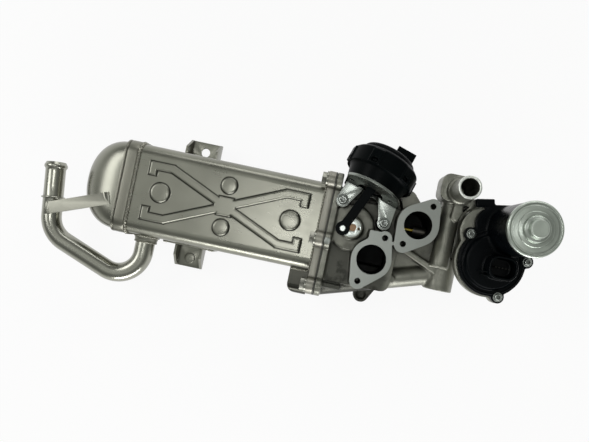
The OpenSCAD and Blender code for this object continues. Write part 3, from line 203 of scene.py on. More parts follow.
def surface(name, rows, columns, place):
    """A grid whose points are placed by their row and column, with its seams closed."""
    bpy.ops.mesh.primitive_grid_add(x_subdivisions=rows, y_subdivisions=columns, size=1)
    piece = bpy.context.object
    piece.name = name
    for v in piece.data.vertices:
        v.co = place(round((v.co.x + 0.5) * rows), round((v.co.y + 0.5) * columns))
    edit(
        piece,
        (bpy.ops.mesh.remove_doubles, {"threshold": 0.000004}),
        (bpy.ops.mesh.normals_make_consistent, {"inside": False}),
    )
    return piece


def sheet_steel(name, colour, rough, grain=0.000012, painted_crease_shade=0.55, painted_foot_shade=None):
    """Satin metal, mostly rolled sheet: cloudy tone, faint lines along X and marks, with painted shade in
    its creases and, where asked, along the foot of a pressing.
    """
    made = Finish(name, metallic=1.0)
    cloud = made.noise(0.035, 2)
    lines = made.noise(0.0011, 2, (0.05, 1, 1))
    marks = made.band(made.noise(0.012, 2), 0.45, 0.80)
    clean = made.mix(made.band(cloud, 0.25, 0.75), tone(*colour, 0.84), tone(*colour))
    crease_shade_mask = made.crease_shade_mask(0.0025, 0.62, 0.96)
    # The creases are darkened as painted shade.
    with_painted_shade = made.mix(painted_crease_shade * crease_shade_mask, clean, tone(*colour, 0.22))
    # Along the foot of a pressing the colour goes nearly black as painted shade.
    if painted_foot_shade:
        with_painted_shade = made.mix(0.85 * painted_foot_shade(made), with_painted_shade, tone(*colour, 0.06))
    made.set({"base_color": with_painted_shade})
    made.set({"roughness": rough + 0.10 * (cloud - 0.5) + 0.03 * (lines - 0.5) + 0.03 * marks})
    fine = made.noise(0.003, 2)
    made.relief((lines, grain), (fine, grain * 0.5))
    return made


# Ends of the shells, middle and half sides of the core's section, its corner radius and its sheet
SHELL_X = (-0.203, -0.0455)
CORE_Y = 0.017
CORE_MID = -0.0412
CORE_HALF = (0.0365, 0.027)
CORNER = 0.010
SHEET = 0.0012


def distance_to_bar(x, y, a, b, half):
    """How far a point lies from a bar with round ends, below 0 inside it."""
    across = Vector((x, y)) - a
    along = b - a
    share = max(0.0, min(1.0, across.dot(along) / along.length_squared))
    return (across - along * share).length - half


# One quarter of the cross, from its middle: the arm, flat plates with their half sides, and round pads
CROSS_X = -0.1220
ARM_END = Vector((0.0465, 0.0205))
ARM_HALF = 0.0021
PLATES = (
    (0.0552, 0.0205, 0.0088, 0.0021),
    (0.0619, 0.0182, 0.0021, 0.0044),
    (0, 0, 0.008, 0.005),
    (0, 0, 0.005, 0.0065),
)
PADS = ((0.053, 0, 0.0068), (0, 0.017, 0.0055))
PAD_CROWN = 0.07
PRESS_HEIGHT = 0.0013
PRESS_WALL = 0.0017


def cross_height(x, y):
    """Height of the pressing over the flat panel, from the middle of the cross."""
    x = abs(x)
    y = abs(y)
    gaps = [distance_to_bar(x, y, Vector((0, 0)), ARM_END, ARM_HALF)]
    gaps += [max(abs(x - px) - wide, abs(y - py) - high) for px, py, wide, high in PLATES]
    pads = [math.hypot(x - px, y - py) - radius for px, py, radius in PADS]
    gap = min(*gaps, *pads)
    share = max(0.0, min(1.0, (PRESS_WALL - gap) / PRESS_WALL))
    inside = max(0.0, -min(pads))
    crown = PAD_CROWN * inside * (1 - inside / (2 * PADS[0][2]))
    return (PRESS_HEIGHT + crown) * share * share * (3 - 2 * share)


def painted_pressing_shade(made):
    """1 in a fine line along the lower wall and foot of the pressing: a mask for painted shade."""
    x = made.node("SeparateXYZ", sockets={"Vector": made.place}, output="X") - CROSS_X
    y = made.node("SeparateXYZ", sockets={"Vector": made.place}, output="Y") - CORE_Y
    x = x.math("ABSOLUTE", x, 0.0)
    y = y.math("ABSOLUTE", y, 0.0)

    def size(across, along):
        square = across * across + along * along
        return square.math("SQRT", square, 0.0)

    share = (x * ARM_END.x + y * ARM_END.y) * (1 / ARM_END.length_squared)
    share = share.math("MINIMUM", share, 1.0)
    gap = size(x - ARM_END.x * share, y - ARM_END.y * share) - ARM_HALF
    for px, py, wide, high in PLATES:
        across = x.math("ABSOLUTE", x - px, 0.0) - wide
        plate = across.math("MAXIMUM", across, y.math("ABSOLUTE", y - py, 0.0) - high)
        gap = gap.math("MINIMUM", gap, plate)
    for px, py, radius in PADS:
        gap = gap.math("MINIMUM", gap, size(x - px, y - py) - radius)
    return made.band(gap, 0.0003, 0.0011) * (1.0 - made.band(gap, 0.0016, 0.0022))


SATIN = {"colour": (0.285, 0.285, 0.242), "rough": 0.28, "grain": 0.000006, "painted_crease_shade": 0.6}
stainless = sheet_steel("satin_stainless", **SATIN)
pressed_stainless = sheet_steel("pressed_stainless", **SATIN, painted_foot_shade=painted_pressing_shade)


def pressed_half(name, side, columns, cells):
    """One half shell: a sheet folded round the section, with the cross pressed into its panel.
    The cells run across the panel, round each corner and down each wall."""
    flat = CORE_HALF[0] - CORNER
    wall = CORE_HALF[1] - CORNER
    panel, bend, drop = cells
    half_rows = panel + bend + drop

    def place(column, row):
        x = SHELL_X[0] + (SHELL_X[1] - SHELL_X[0]) * column / columns
        step = abs(row - half_rows)
        if step <= panel:
            out = flat * step / panel
            rise = CORE_HALF[1]
            if step < panel:
                rise += cross_height(x - CROSS_X, math.copysign(out, row - half_rows))
        elif step <= panel + bend:
            turn = (step - panel) / bend * math.pi / 2
            out = flat + CORNER * math.sin(turn)
            rise = wall + CORNER * math.cos(turn)
        else:
            out = CORE_HALF[0]
            rise = wall * (1 - (step - panel - bend) / drop)
        return (x, CORE_Y + math.copysign(out, row - half_rows), CORE_MID + side * rise)

    piece = surface(name, columns, 2 * half_rows, place)
    up = max(piece.data.polygons, key=lambda p: side * p.center.z).normal.z * side
    if up < 0:
        edit(piece, (bpy.ops.mesh.flip_normals, {}))
    shape(piece, "SOLIDIFY", thickness=SHEET, offset=-1)
    return soften(piece)


keep(pressed_half("front_shell", 1, 236, (66, 10, 4)), pressed_stainless, "stainless", "shell_front")
keep(pressed_half("rear_shell", -1, 150, (44, 8, 4)), pressed_stainless, "stainless", "shell_rear")


# End tank, band and headers
# The domed tank closes the far end of the core, where the gas turns back. A rolled band covers the
# joint and is welded to the shell. Headers and flat tubes are brazed inside the core.
TANK_X = -0.2088
TANK_REACH = 0.0338
TANK_RINGS = 36
TANK_SPOKES = 128


def dome_point(ring, spoke):
    """A point of the dome, which goes from a box with round corners at the joint to an oval at its end."""
    share = math.sin(ring / TANK_RINGS * math.pi / 2)
    turn = spoke / TANK_SPOKES * 2 * math.pi
    width = CORE_HALF[0] * (1 - share**2.3) ** (1 / 2.2)
    depth = CORE_HALF[1] * (1 - share**2.0) ** (1 / 2.1)
    power = 2 / (5.5 - 3.3 * share**0.6)
    c = math.cos(turn)
    s = math.sin(turn)
    y = width * math.copysign(abs(c) ** power, c)
    z = depth * math.copysign(abs(s) ** power, s)
    return (TANK_X - TANK_REACH * share, CORE_Y + y, CORE_MID + z)


tank = surface("domed_tank", TANK_RINGS, TANK_SPOKES, dome_point)
shape(tank, "SOLIDIFY", thickness=SHEET, offset=-1)
keep(soften(tank), stainless, "stainless", "end_tank")


def outline(grow, turns, step):
    """Points once round the core section, grown outward: four arcs, each followed by a flat."""
    corner = CORNER + grow
    flats = (2 * (CORE_HALF[0] - CORNER), 2 * (CORE_HALF[1] - CORNER))
    points = []
    for quarter, (side_y, side_z) in enumerate(((1, 1), (-1, 1), (-1, -1), (1, -1))):
        centre = Vector((side_y * flats[0] / 2, side_z * flats[1] / 2))
        for i in range(turns):
            angle = (quarter + i / turns) * math.pi / 2
            points.append(centre + corner * Vector((math.cos(angle), math.sin(angle))))
        angle = (quarter + 1) * math.pi / 2
        start = centre + corner * Vector((math.cos(angle), math.sin(angle)))
        run = Vector((-math.sin(angle), math.cos(angle))) * flats[quarter % 2]
        cells = round(run.length / step)
        points += [start + run * i / cells for i in range(cells)]
    points.append(points[0])
    return [(CORE_Y + p.x, CORE_MID + p.y) for p in points]


weld_metal = sheet_steel("weld_metal", (0.28, 0.275, 0.232), 0.26, 0.00002, painted_crease_shade=0.9)
WELD_SIDES = 10


def weld(name, path, side, radius, pitch):
    """A weld bead along a path in the plane across the side vector, with slanting ripples."""
    count = len(path) - 1
    closed = (path[0] - path[-1]).length < 1e-6
    runs = [0.0]
    for a, b in zip(path, path[1:]):
        runs.append(runs[-1] + (b - a).length)
    if closed:
        pitch = runs[-1] / round(runs[-1] / pitch)

    def place(row, column):
        before = path[row - 1] if row else path[count - 1 if closed else 0]
        after = path[row + 1] if row < count else path[1 if closed else count]
        along = (after - before).normalized()
        turn = column / WELD_SIDES * 2 * math.pi
        wave = abs(math.sin(math.pi * runs[row] / pitch + 0.5 * math.sin(turn)))
        thick = radius * (0.62 + 0.42 * wave)
        if not closed and row in (0, count):
            thick *= 0.3
        return path[row] + thick * (math.cos(turn) * side + math.sin(turn) * along.cross(side))

    piece = surface(name, count, WELD_SIDES, place)
    if not closed:
        shape(piece, "SOLIDIFY", thickness=radius * 0.2, offset=-1)
    keep(soften(piece, 60), weld_metal, "weld_band")


band_steel = sheet_steel("band_steel", (0.245, 0.242, 0.205), 0.36)
# Section of the band, with a bead along its far edge: place along the core and height over the shell
BAND = [
    (-0.2094, 0.00005), (-0.2096, 0.0006), (-0.2093, 0.0011), (-0.2086, 0.0013), (-0.2080, 0.0011),
    (-0.2077, 0.0006), (-0.2074, 0.0005), (-0.2071, 0.0007), (-0.2067, 0.0011), (-0.2061, 0.0012),
    (-0.1998, 0.0012), (-0.1992, 0.0011), (-0.1988, 0.0008), (-0.1986, 0.00005), (-0.2094, 0.00005),
]
rounds = [outline(grow, 10, 0.004) for x, grow in BAND]
band = surface("rolled_band", len(BAND) - 1, len(rounds[0]) - 1, lambda r, c: (BAND[r][0], *rounds[r][c]))
keep(soften(band, 35), band_steel, "weld_band", "end_band")
ALONG = Vector((1, 0, 0))
band_seam = [Vector((-0.1976, *p)) for p in outline(0.0002, 36, 0.00045)]
weld("band_weld", band_seam, ALONG, 0.0016, 0.0026)
flange_seam = [Vector((-0.0461, *p)) for p in outline(0.0, 36, 0.0005)]
weld("flange_weld", flange_seam, ALONG, 0.0010, 0.0024)
dress(stainless, "rear_header", "front_header", "gas_tubes")


# Coolant pipe, its strap, the brackets and the pocket
# A bent and polished tube with a stop ring and a rolled bead for the hose. A strap of sheet holds
# its free end to the tank. Brackets and coolant pocket are pressed sheet, welded to the core.
tube_steel = sheet_steel("polished_tube", (0.375, 0.375, 0.325), 0.22, 0.000002)
PIPE_AT = Vector((-0.186, -0.0183))
PIPE_R = 0.008
PIPE_WALL = 0.0012
PIPE_SIDES = 44
# Length of each straight, radius of the bend after it and the degrees that it turns
PIPE_BENDS = ((0.01604, 0.021, -111), (0.041105, 0.024, -62.4))
# The free end in millimetres, with its stop ring and bead: distance along it and outer radius
PIPE_END = (
    (0, 8), (6, 8), (13.6, 8), (13.9, 8.1), (14.1, 9.1), (14.5, 9.4), (15.1, 9.4), (15.5, 9.1),
    (15.7, 8.1), (16, 8), (24, 8), (37.6, 8), (38.6, 8.1), (39.4, 8.5), (40, 8.95), (40.7, 9.15),
    (41.6, 9.15), (42.3, 8.95), (42.9, 8.6), (43.5, 8.2), (44.1, 8.0), (44.5, 7.7),
)


def pipe_stations():
    """Point, heading and outer radius along the pipe: two straights with bends, then the spigot."""
    at = PIPE_AT
    heading = math.radians(-90)
    stations = []
    for straight, bend, turn in PIPE_BENDS:
        for i in range(4):
            stations.append((at, heading, PIPE_R))
            at = at + straight / 4 * Vector((math.cos(heading), math.sin(heading)))
        centre = at + bend * Vector((math.sin(heading), -math.cos(heading)))
        steps = round(abs(turn) / 4)
        start = heading
        for i in range(steps):
            heading = start + math.radians(turn) * i / steps
            out = Vector((-math.sin(heading), math.cos(heading)))
            stations.append((centre + bend * out, heading, PIPE_R))
        heading = start + math.radians(turn)
        at = centre + bend * Vector((-math.sin(heading), math.cos(heading)))
    run = Vector((math.cos(heading), math.sin(heading)))
    stations += [(at + run * d / 1000, heading, r / 1000) for d, r in PIPE_END]
    return stations


PIPE = pipe_stations()


def pipe_point(row, column):
    at, heading, radius = PIPE[row]
    turn = column / PIPE_SIDES * 2 * math.pi
    out = radius * math.cos(turn) * Vector((-math.sin(heading), math.cos(heading)))
    return (at.x + out.x, at.y + out.y, CORE_MID + radius * math.sin(turn))


pipe = surface("bent_pipe", len(PIPE) - 1, PIPE_SIDES, pipe_point)
shape(pipe, "SOLIDIFY", thickness=PIPE_WALL, offset=-1)
keep(soften(pipe), tube_steel, "pipe", "coolant_pipe")
dress(band_steel, "pipe_ferrule")


def ring_path(centre, radius, steps):
    """A closed circle across Y."""
    turns = [2 * math.pi * i / steps for i in range(steps + 1)]
    return [Vector(centre) + radius * Vector((math.cos(a), 0, math.sin(a))) for a in turns]


def line_path(a, b, steps):
    return [Vector(a).lerp(Vector(b), i / steps) for i in range(steps + 1)]


ACROSS = Vector((0, 1, 0))
weld("ferrule_weld", ring_path((PIPE_AT.x, -0.0203, CORE_MID), 0.0098, 150), ACROSS, 0.0012, 0.0017)
weld("pipe_weld", ring_path((PIPE_AT.x, -0.0252, CORE_MID), 0.0086, 130), ACROSS, 0.0008, 0.0016)


def twin(name, piece_name):
    """A welded copy of a solid, free to be reshaped."""
    piece = nodes[name].copy()
    piece.data = nodes[name].data.copy()
    piece.name = piece_name
    piece.parent = None
    for key in list(piece.keys()):
        del piece[key]
    bpy.context.scene.collection.objects.link(piece)
    edit(piece, (bpy.ops.mesh.remove_doubles, {"threshold": 0.000002}))
    return piece


def folded(name, piece_name, radius, finish, slot, body="housing"):
    """A solid whose sharp edges are rounded, as on pressed or folded metal."""
    piece = twin(name, piece_name)
    edit(piece, (bpy.ops.mesh.dissolve_limited, {"angle_limit": math.radians(0.5)}))
    bevel = {"width": radius, "segments": 3, "limit_method": "ANGLE", "angle_limit": math.radians(35)}
    shape(piece, "BEVEL", harden_normals=False, use_clamp_overlap=True, **bevel)
    keep(soften(piece, 45), finish, slot, name, body=body)
    return piece


bracket_steel = sheet_steel("bracket_steel", (0.25, 0.25, 0.212), 0.32, painted_crease_shade=0.8)
# The drawn pocket is stainless like the shells, in a much darker copy as painted shade.
shaded_pocket_steel = sheet_steel("shaded_pocket_steel", (0.058, 0.058, 0.049), 0.30, painted_crease_shade=0.8)
strap = folded("pipe_strap", "holding_strap", 0.0005, bracket_steel, "stainless")
# The strap ends on top of the pipe
STRAP_END_X = -0.2708
cut_off = {"plane_co": (STRAP_END_X, 0, 0), "plane_no": (-1, 0, 0), "use_fill": True, "clear_outer": True}
edit(strap, (bpy.ops.mesh.bisect, cut_off))
folded("upper_bracket", "upper_clip", 0.0006, bracket_steel, "stainless")
folded("lower_bracket", "lower_clip", 0.0006, bracket_steel, "stainless")
pocket = twin("coolant_pocket", "drawn_pocket")
shape(pocket, "REMESH", mode="VOXEL", voxel_size=0.0005)
shape(pocket, "SMOOTH", factor=0.5, iterations=5)
keep(soften(pocket), shaded_pocket_steel, "stainless", "coolant_pocket")
SIDE_Y = CORE_Y - CORE_HALF[0]
SEAM_STEP = 0.0004
# Seams that hold the pocket and the brackets: start, end, side and height
SIDE_SEAMS = (
    (-0.0612, -0.0468, SIDE_Y - 0.0006, -0.0247),
    (-0.1712, -0.1672, SIDE_Y - 0.0012, -0.0385),
    (-0.1324, -0.1284, SIDE_Y - 0.0012, -0.0385),
    (-0.1690, -0.1422, CORE_Y + CORE_HALF[0] + 0.0004, -0.0562),
)
for number, (x0, x1, y, z) in enumerate(SIDE_SEAMS):
    seam = line_path((x0, y, z), (x1, y, z), round((x1 - x0) / SEAM_STEP))
    weld(f"side_weld_{number}", seam, ACROSS, 0.0012, 0.0019)


# Joint between core and housing
# A thick steel flange is welded to the core and bolted to the casting with hexagon-headed screws
# over a sheet-metal gasket. Screws of the same kind hold the gear case.
flange_steel = sheet_steel("flange_steel", (0.335, 0.327, 0.284), 0.42)
folded("cooler_flange", "steel_flange", 0.0006, flange_steel, "steel_flange")
gasket_steel = sheet_steel("gasket_sheet", (0.11, 0.11, 0.10), 0.5)
dress(gasket_steel, "flange_gasket")
bolt_steel = sheet_steel("bolt_steel", (0.32, 0.32, 0.28), 0.27)
folded("flange_bolts", "hexagon_bolts", 0.0004, bolt_steel, "zinc")
folded("case_bolts", "hexagon_case_bolts", 0.0004, bolt_steel, "zinc")


# Cast housing and gear case
# Pressure die castings in aluminium. The housing is one piece: flap chest, two gas ports, coolant tube,
# hose spigot and ribs. Cast skin is matte and stained; gas faces, bores and spigot mouth are machined.


def cast_aluminium(name, colour):
    """Cast skin with random stains, painted highlights along its edges, painted shade in its hollows and
    creases, and more painted shade low on the flap chest.
    """
    made = Finish(name, metallic=0.85)
    cloud = made.noise(0.022, 3)
    skin = made.noise(0.0012, 4, rough=0.65)
    stain = made.band(made.noise(0.009, 4), 0.48, 0.75)
    pale = made.mix(made.band(cloud, 0.3, 0.7), tone(*colour, 0.84), tone(*colour))
    # The creases are darkened as painted shade.
    painted_crease_shade = made.crease_shade_mask(0.013, 0.20, 0.92)
    # Painted shade over the recessed flap chest, darker the lower it lies.
    height = made.node("SeparateXYZ", sockets={"Vector": made.place}, output="Z")
    along = made.node("SeparateXYZ", sockets={"Vector": made.place}, output="X")
    painted_chest_shade = (1.0 - made.band(height, -0.022, -0.010)) * (1.0 - made.band(along, 0.012, 0.022))
    painted_chest_shade = painted_chest_shade * made.band(along, -0.0345, -0.0325)
    # From the pointiness of the mesh: pale edges are painted highlights, dark hollows are painted shade.
    bend = made.node("NewGeometry", output="Pointiness")
    painted_edge_highlight = made.band(bend, 0.52, 0.60)
    painted_hollow_shade = 1.0 - made.band(bend, 0.40, 0.485)
    edge_highlight_and_hollow_shade = made.mix(0.6 * painted_edge_highlight, made.mix(0.7 * painted_hollow_shade, pale, tone(*colour, 0.2)), tone(*colour, 1.7))
    with_painted_shade = made.mix(0.3 * stain + 0.9 * painted_chest_shade, edge_highlight_and_hollow_shade, tone(*colour, 0.17))
    made.set({"base_color": made.mix(0.85 * painted_crease_shade, with_painted_shade, tone(*colour, 0.18))})
    made.set({"roughness": 0.40 + 0.16 * (skin - 0.5) + 0.08 * stain})
    made.relief((skin, 0.00014), (made.noise(0.0045, 2), 0.00016))
    return made


def machined_aluminium(name, colour):
    """A cut face with fine parallel tool marks."""
    made = Finish(name, metallic=1.0)
    cuts = made.noise(0.0007, 2, (1, 0.06, 1))
    cloud = made.noise(0.012, 2)
    made.set({"base_color": made.mix(cloud, tone(*colour, 0.86), tone(*colour))})
    made.set({"roughness": 0.38 + 0.12 * (cuts - 0.5) + 0.08 * (cloud - 0.5)})
    made.relief((cuts, 0.00002))
    return made


def sooty_wall(name):
    """Dry soot over a machined or cast wall, thinner in places."""
    made = Finish(name, metallic=0.0)
    made.shader.inputs["Specular IOR Level"].default_value = 0.15
    patch = made.band(made.noise(0.006, 4), 0.45, 0.75)
    made.set({"base_color": made.mix(patch, tone(0.0030, 0.0034, 0.0028), tone(0.0095, 0.0092, 0.0075))})
    made.set({"roughness": 0.62 + 0.2 * (patch - 0.5)})
    made.relief((made.noise(0.0008, 3), 0.00005))
    return made


casting = cast_aluminium("cast_aluminium", (0.265, 0.267, 0.228))
machined = machined_aluminium("machined_aluminium", (0.295, 0.311, 0.290))
turned_rim = machined_aluminium("turned_rim", (0.88, 0.90, 0.85))
soot = sooty_wall("soot")


def cut_flat(piece, height, chosen):
    """Faces off the chosen part of a piece at one height and fills the cut."""
    alone(piece)
    for polygon in piece.data.polygons:
        polygon.select = chosen(polygon.center)
    bpy.ops.object.mode_set(mode="EDIT")
    bpy.ops.mesh.select_mode(type="FACE")
    bpy.ops.mesh.bisect(plane_co=(0, 0, height), plane_no=(0, 0, 1), use_fill=True, clear_outer=True)
    bpy.ops.object.mode_set(mode="OBJECT")


def cast_web(at, size):
    """A filling between two forms of the casting, which grows into them when the whole is remeshed."""
    alone(housing)
    bpy.ops.mesh.primitive_cube_add(size=1, location=at)
    web = bpy.context.object
    web.scale = size
    bpy.ops.object.transform_apply(location=True, rotation=True, scale=True)
    shape(web, "BEVEL", width=0.0012, segments=2)
    return web


SPIGOT = Vector((0.0593, 0.0678))
SPIGOT_ROOM = 0.014
CAST_CELL = 0.0008
# The gas faces stand proud by an allowance until the edges are rounded, and are then cut flat
ALLOWANCE = 0.002
FACE_DEPTH = 0.006
# Middle and size of the fillings
FILLINGS = (
    ((0.0565, 0.0078, -0.0260), (0.0100, 0.0050, 0.0130)),
    ((0.0660, 0.0155, -0.0460), (0.0120, 0.0090, 0.0080)),
    ((0.0745, 0.0585, -0.0199), (0.0100, 0.0080, 0.0070)),
    ((0.0170, 0.0490, -0.0360), (0.0120, 0.0120, 0.0080)),
    ((-0.0260, -0.0260, -0.0260), (0.0160, 0.0050, 0.0090)),
)
housing = twin("valve_housing", "cast_housing")
for v in housing.data.vertices:
    if abs(v.co.z) < 1e-5:
        v.co.z += ALLOWANCE
webs = [cast_web(at, size) for at, size in FILLINGS]
alone(housing, *webs)
bpy.ops.object.join()
shape(housing, "REMESH", mode="VOXEL", voxel_size=CAST_CELL)
shape(housing, "SMOOTH", factor=0.5, iterations=3)
cut_flat(housing, 0.0, lambda c: (c.xy - SPIGOT).length > SPIGOT_ROOM and c.z > -FACE_DEPTH)
edit(housing, (bpy.ops.mesh.normals_make_consistent, {"inside": False}))
shape(housing, "DECIMATE", ratio=0.6)


# Middle and radius of the two gas bores, how far down they are sooty, and the box of the rooms behind
GAS_BORES = ((Vector((0, 0)), 0.0124), (Vector((0.0301, 0.0335)), 0.0130))
BORE_Z = (-0.0565, -0.0006)
ROOMS = ((-0.041, 0.0155), (-0.006, 0.0415), (-0.0595, -0.0235))
MOUTH_Z = 0.022
MOUTH_LIP = 0.0016


def inside_gas_ways(at):
    """Whether a point lies in a gas bore or in the rooms behind them."""
    in_bore = any((at.xy - middle).length < radius for middle, radius in GAS_BORES)
    in_rooms = all(low < place < high for place, (low, high) in zip(at, ROOMS))
    return in_rooms or (in_bore and BORE_Z[0] < at.z <= BORE_Z[1])


def housing_finish(polygon):
    """1 for a machined face, 2 for a sooty gas way, 3 for the turned spigot mouth, 0 for cast skin."""
    at = polygon.center
    if polygon.normal.z > 0.99 and abs(at.z) < 2e-5:
        return 1
    if at.z > MOUTH_Z - MOUTH_LIP:
        return 3
    return 2 if inside_gas_ways(at) else 0


housing.data.materials.clear()
for finish in (casting, machined, soot, turned_rim):
    housing.data.materials.append(finish.material)
for polygon in housing.data.polygons:
    polygon.material_index = housing_finish(polygon)
keep(soften(housing, 42), None, "cast_aluminium", "valve_housing")
case = twin("gear_case", "cast_gear_case")
shape(case, "REMESH", mode="VOXEL", voxel_size=CAST_CELL)
shape(case, "SMOOTH", factor=0.5, iterations=3)
keep(soften(case), casting, "cast_aluminium", "gear_case")


# Bypass drive
# A bronze shaft with two flats carries the zinc-plated lever, given a paler copy of the zinc as painted
# light. A moulded rod links it to the canister. The zinc-plated sheet bracket, in a darker copy as painted
# shade, is held by two pan-head screws with a star recess.
bronze = sheet_steel("turned_bronze", (0.180, 0.120, 0.076), 0.32)
dress(bronze, "shaft_bush", "bypass_shaft")
# The bracket's zinc is a darker copy, as painted shade.
zinc = sheet_steel("shaded_zinc", (0.34, 0.362, 0.336), 0.26, 0.000003, painted_crease_shade=0.85)
folded("actuator_bracket", "plated_bracket", 0.0004, zinc, "zinc")
# The lever's zinc is a paler copy of the same plating, as painted light.
lit_zinc = sheet_steel("lit_zinc", (0.60, 0.640, 0.605), 0.28, 0.000003, painted_crease_shade=0.7)
folded("bypass_lever", "plated_lever", 0.0004, lit_zinc, "zinc", body="bypass")
dress(lit_zinc, "lever_pin")


def lathe(name, centre, profile, spokes):
    """A turned piece about a vertical; the third number of a ring waves it sixfold."""

    def place(row, column):
        radius, height, wave = profile[row]
        turn = 2 * math.pi * column / spokes
        radius *= 1 + wave * math.cos(6 * turn)
        return (centre[0] + radius * math.cos(turn), centre[1] + radius * math.sin(turn), height)

    return surface(name, len(profile) - 1, spokes, place)


def star_screws(name, spots, seat, head, shank, stands_for):
    """Pan-head screws with a washer face and a star recess, on one level. The head is given by its
    radius and height, and the shank by its radius and length."""
    wide, tall = head
    thin, deep = shank
    rings = [(0, -deep, 0), (thin, -deep, 0), (thin, 0, 0), (wide, 0, 0), (wide, 0.22 * tall, 0)]
    rings += [(0.94 * wide, 0.32 * tall, 0), (0.77 * wide, 0.34 * tall, 0), (0.74 * wide, 0.40 * tall, 0)]
    rings += [(0.73 * wide, 0.74 * tall, 0), (0.69 * wide, 0.90 * tall, 0), (0.61 * wide, 0.98 * tall, 0)]
    rings += [(0.50 * wide, tall, 0.03), (0.42 * wide, 0.98 * tall, 0.12), (0.40 * wide, 0.9 * tall, 0.12)]
    rings += [(0.39 * wide, 0.35 * tall, 0.12), (0, 0.30 * tall, 0)]
    profile = [(r, seat + h, w) for r, h, w in rings]
    made = [lathe(name, spot, profile, 48) for spot in spots]
    alone(*made)
    bpy.ops.object.join()
    keep(soften(made[0], 35), screw_steel, "zinc", stands_for)


screw_steel = sheet_steel("plated_screw", (0.36, 0.385, 0.360), 0.25, painted_crease_shade=0.8)
BRACKET_SPOTS = ((-0.03101, 0.04120), (0.00441, 0.02983))
BRACKET_Z = -0.0080
star_screws("star_screws", BRACKET_SPOTS, BRACKET_Z, (0.00475, 0.0034), (0.0025, 0.012), "bracket_screws")


def moulded(name, colour, rough, grain, shine):
    """Plastic, rubber or ferrite out of a mould, with a fine skin and a little dust."""
    made = Finish(name)
    made.shader.inputs["Specular IOR Level"].default_value = shine
    cloud = made.noise(0.015, 3)
    skin = made.noise(0.0006, 3)
    dust = made.band(made.noise(0.004, 5), 0.55, 0.8)
    pale = tone(*(2.2 * c + 0.001 for c in colour))
    made.set({"base_color": made.mix(0.5 * dust, tone(*colour), pale)})
    made.set({"roughness": rough + 0.12 * (cloud - 0.5) + 0.06 * dust})
    made.relief((skin, grain))
    return made


def cast_in_plastic(name, piece_name, cell, rounds, finish, slot, body="housing"):
    """A solid with the soft edges of a moulding."""
    piece = twin(name, piece_name)
    shape(piece, "REMESH", mode="VOXEL", voxel_size=cell)
    shape(piece, "SMOOTH", factor=0.5, iterations=rounds)
    keep(soften(piece), finish, slot, name, body=body)


black_plastic = moulded("matte_black_plastic", (0.0009, 0.0019, 0.0021), 0.36, 0.00001, 0.048)
cast_in_plastic("link_rod", "moulded_rod", 0.0004, 4, black_plastic, "black_plastic", body="link")
dress(soot, "bypass_flap")


# Vacuum canister
# Two glass-filled plastic shells clipped together over the rim of the diaphragm, with a spring
# inside and a moulded socket for the vacuum hose.
cast_in_plastic("vacuum_can", "canister_can", 0.0006, 3, black_plastic, "black_plastic")
cast_in_plastic("vacuum_cap", "canister_cap", 0.00055, 1, black_plastic, "black_plastic")
rubber = moulded("black_rubber", (0.006, 0.006, 0.006), 0.7, 0.00004, 0.2)
dress(rubber, "diaphragm", "cover_seal")
turned_steel = sheet_steel("turned_steel", (0.22, 0.216, 0.20), 0.35)
dress(turned_steel, "piston_plate")


def spring(name, piece_name, way):
    """A wound spring: a welded copy of the solid with its finish and its own mesh. The way is not used."""
    way = Vector(way)
    coil = twin(name, piece_name)
    keep(soften(coil, 50), turned_steel, "steel", name)
    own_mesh(coil)


CANISTER_WAY = (0.295181, 0.936194, -0.190809)
spring("vacuum_spring", "diaphragm_spring", CANISTER_WAY)


# Recirculation valve
# A moulded cover closes the cast gear case and is held by three screws. It has a motor tube, a raised
# ring and a connector with two gussets. The drawn motor cap, plated in zinc, stands out of the tube.
cover_plastic = moulded("satin_cover_plastic", (0.0008, 0.0016, 0.0022), 0.28, 0.00001, 0.075)
cast_in_plastic("gear_cover", "moulded_cover", 0.0007, 4, cover_plastic, "cover_plastic")
COVER_AT = (0.0942, 0.0176)
COVER_Z = -0.0087
RING_R = 0.0249
RING_HEIGHT = 0.0007
bpy.ops.mesh.primitive_torus_add(
    location=(*COVER_AT, COVER_Z),
    major_radius=RING_R,
    minor_radius=RING_HEIGHT,
    major_segments=96,
    minor_segments=12,
)
ridge = bpy.context.object
ridge.name = "cover_ridge"
bpy.ops.object.transform_apply(location=True, rotation=True, scale=True)
keep(soften(ridge), cover_plastic, "cover_plastic")


DISC_Z = -0.0052
RIB_TOP = 0.0045
RIB_LENGTH = 0.0075
RIB_THICK = 0.0011
RIB_SINK = 0.0008
RIB_SPOTS = ((0.0926, 0.0064), (0.0901, 0.0092))


def connector_rib(back, y):
    """A thin gusset that slopes from the connector's wall down to the raised disc of the cover."""
    tip = back - RIB_LENGTH
    bpy.ops.mesh.primitive_cube_add(size=1, location=((tip + back) / 2, y, (DISC_Z + RIB_TOP) / 2))
    rib = bpy.context.object
    rib.name = "connector_ribs"
    rib.scale = (RIB_LENGTH, RIB_THICK, RIB_TOP - DISC_Z + RIB_SINK)
    bpy.ops.object.transform_apply(location=True, rotation=True, scale=True)
    for v in rib.data.vertices:
        if v.co.x < tip + RIB_LENGTH / 2 and v.co.z > DISC_Z:
            v.co.z = DISC_Z + RIB_SINK
    shape(rib, "BEVEL", width=0.0002, segments=2)
    return rib


ribs = [connector_rib(back, y) for back, y in RIB_SPOTS]
alone(*ribs)
bpy.ops.object.join()
keep(soften(ribs[0], 30), cover_plastic, "cover_plastic")
COVER_SPOTS = ((0.073536, 0.036271), (0.104317, -0.008348), (0.121421, 0.023485))
star_screws("cover_star_screws", COVER_SPOTS, COVER_Z, (0.0038, 0.0030), (0.002, 0.0143), "cover_screws")
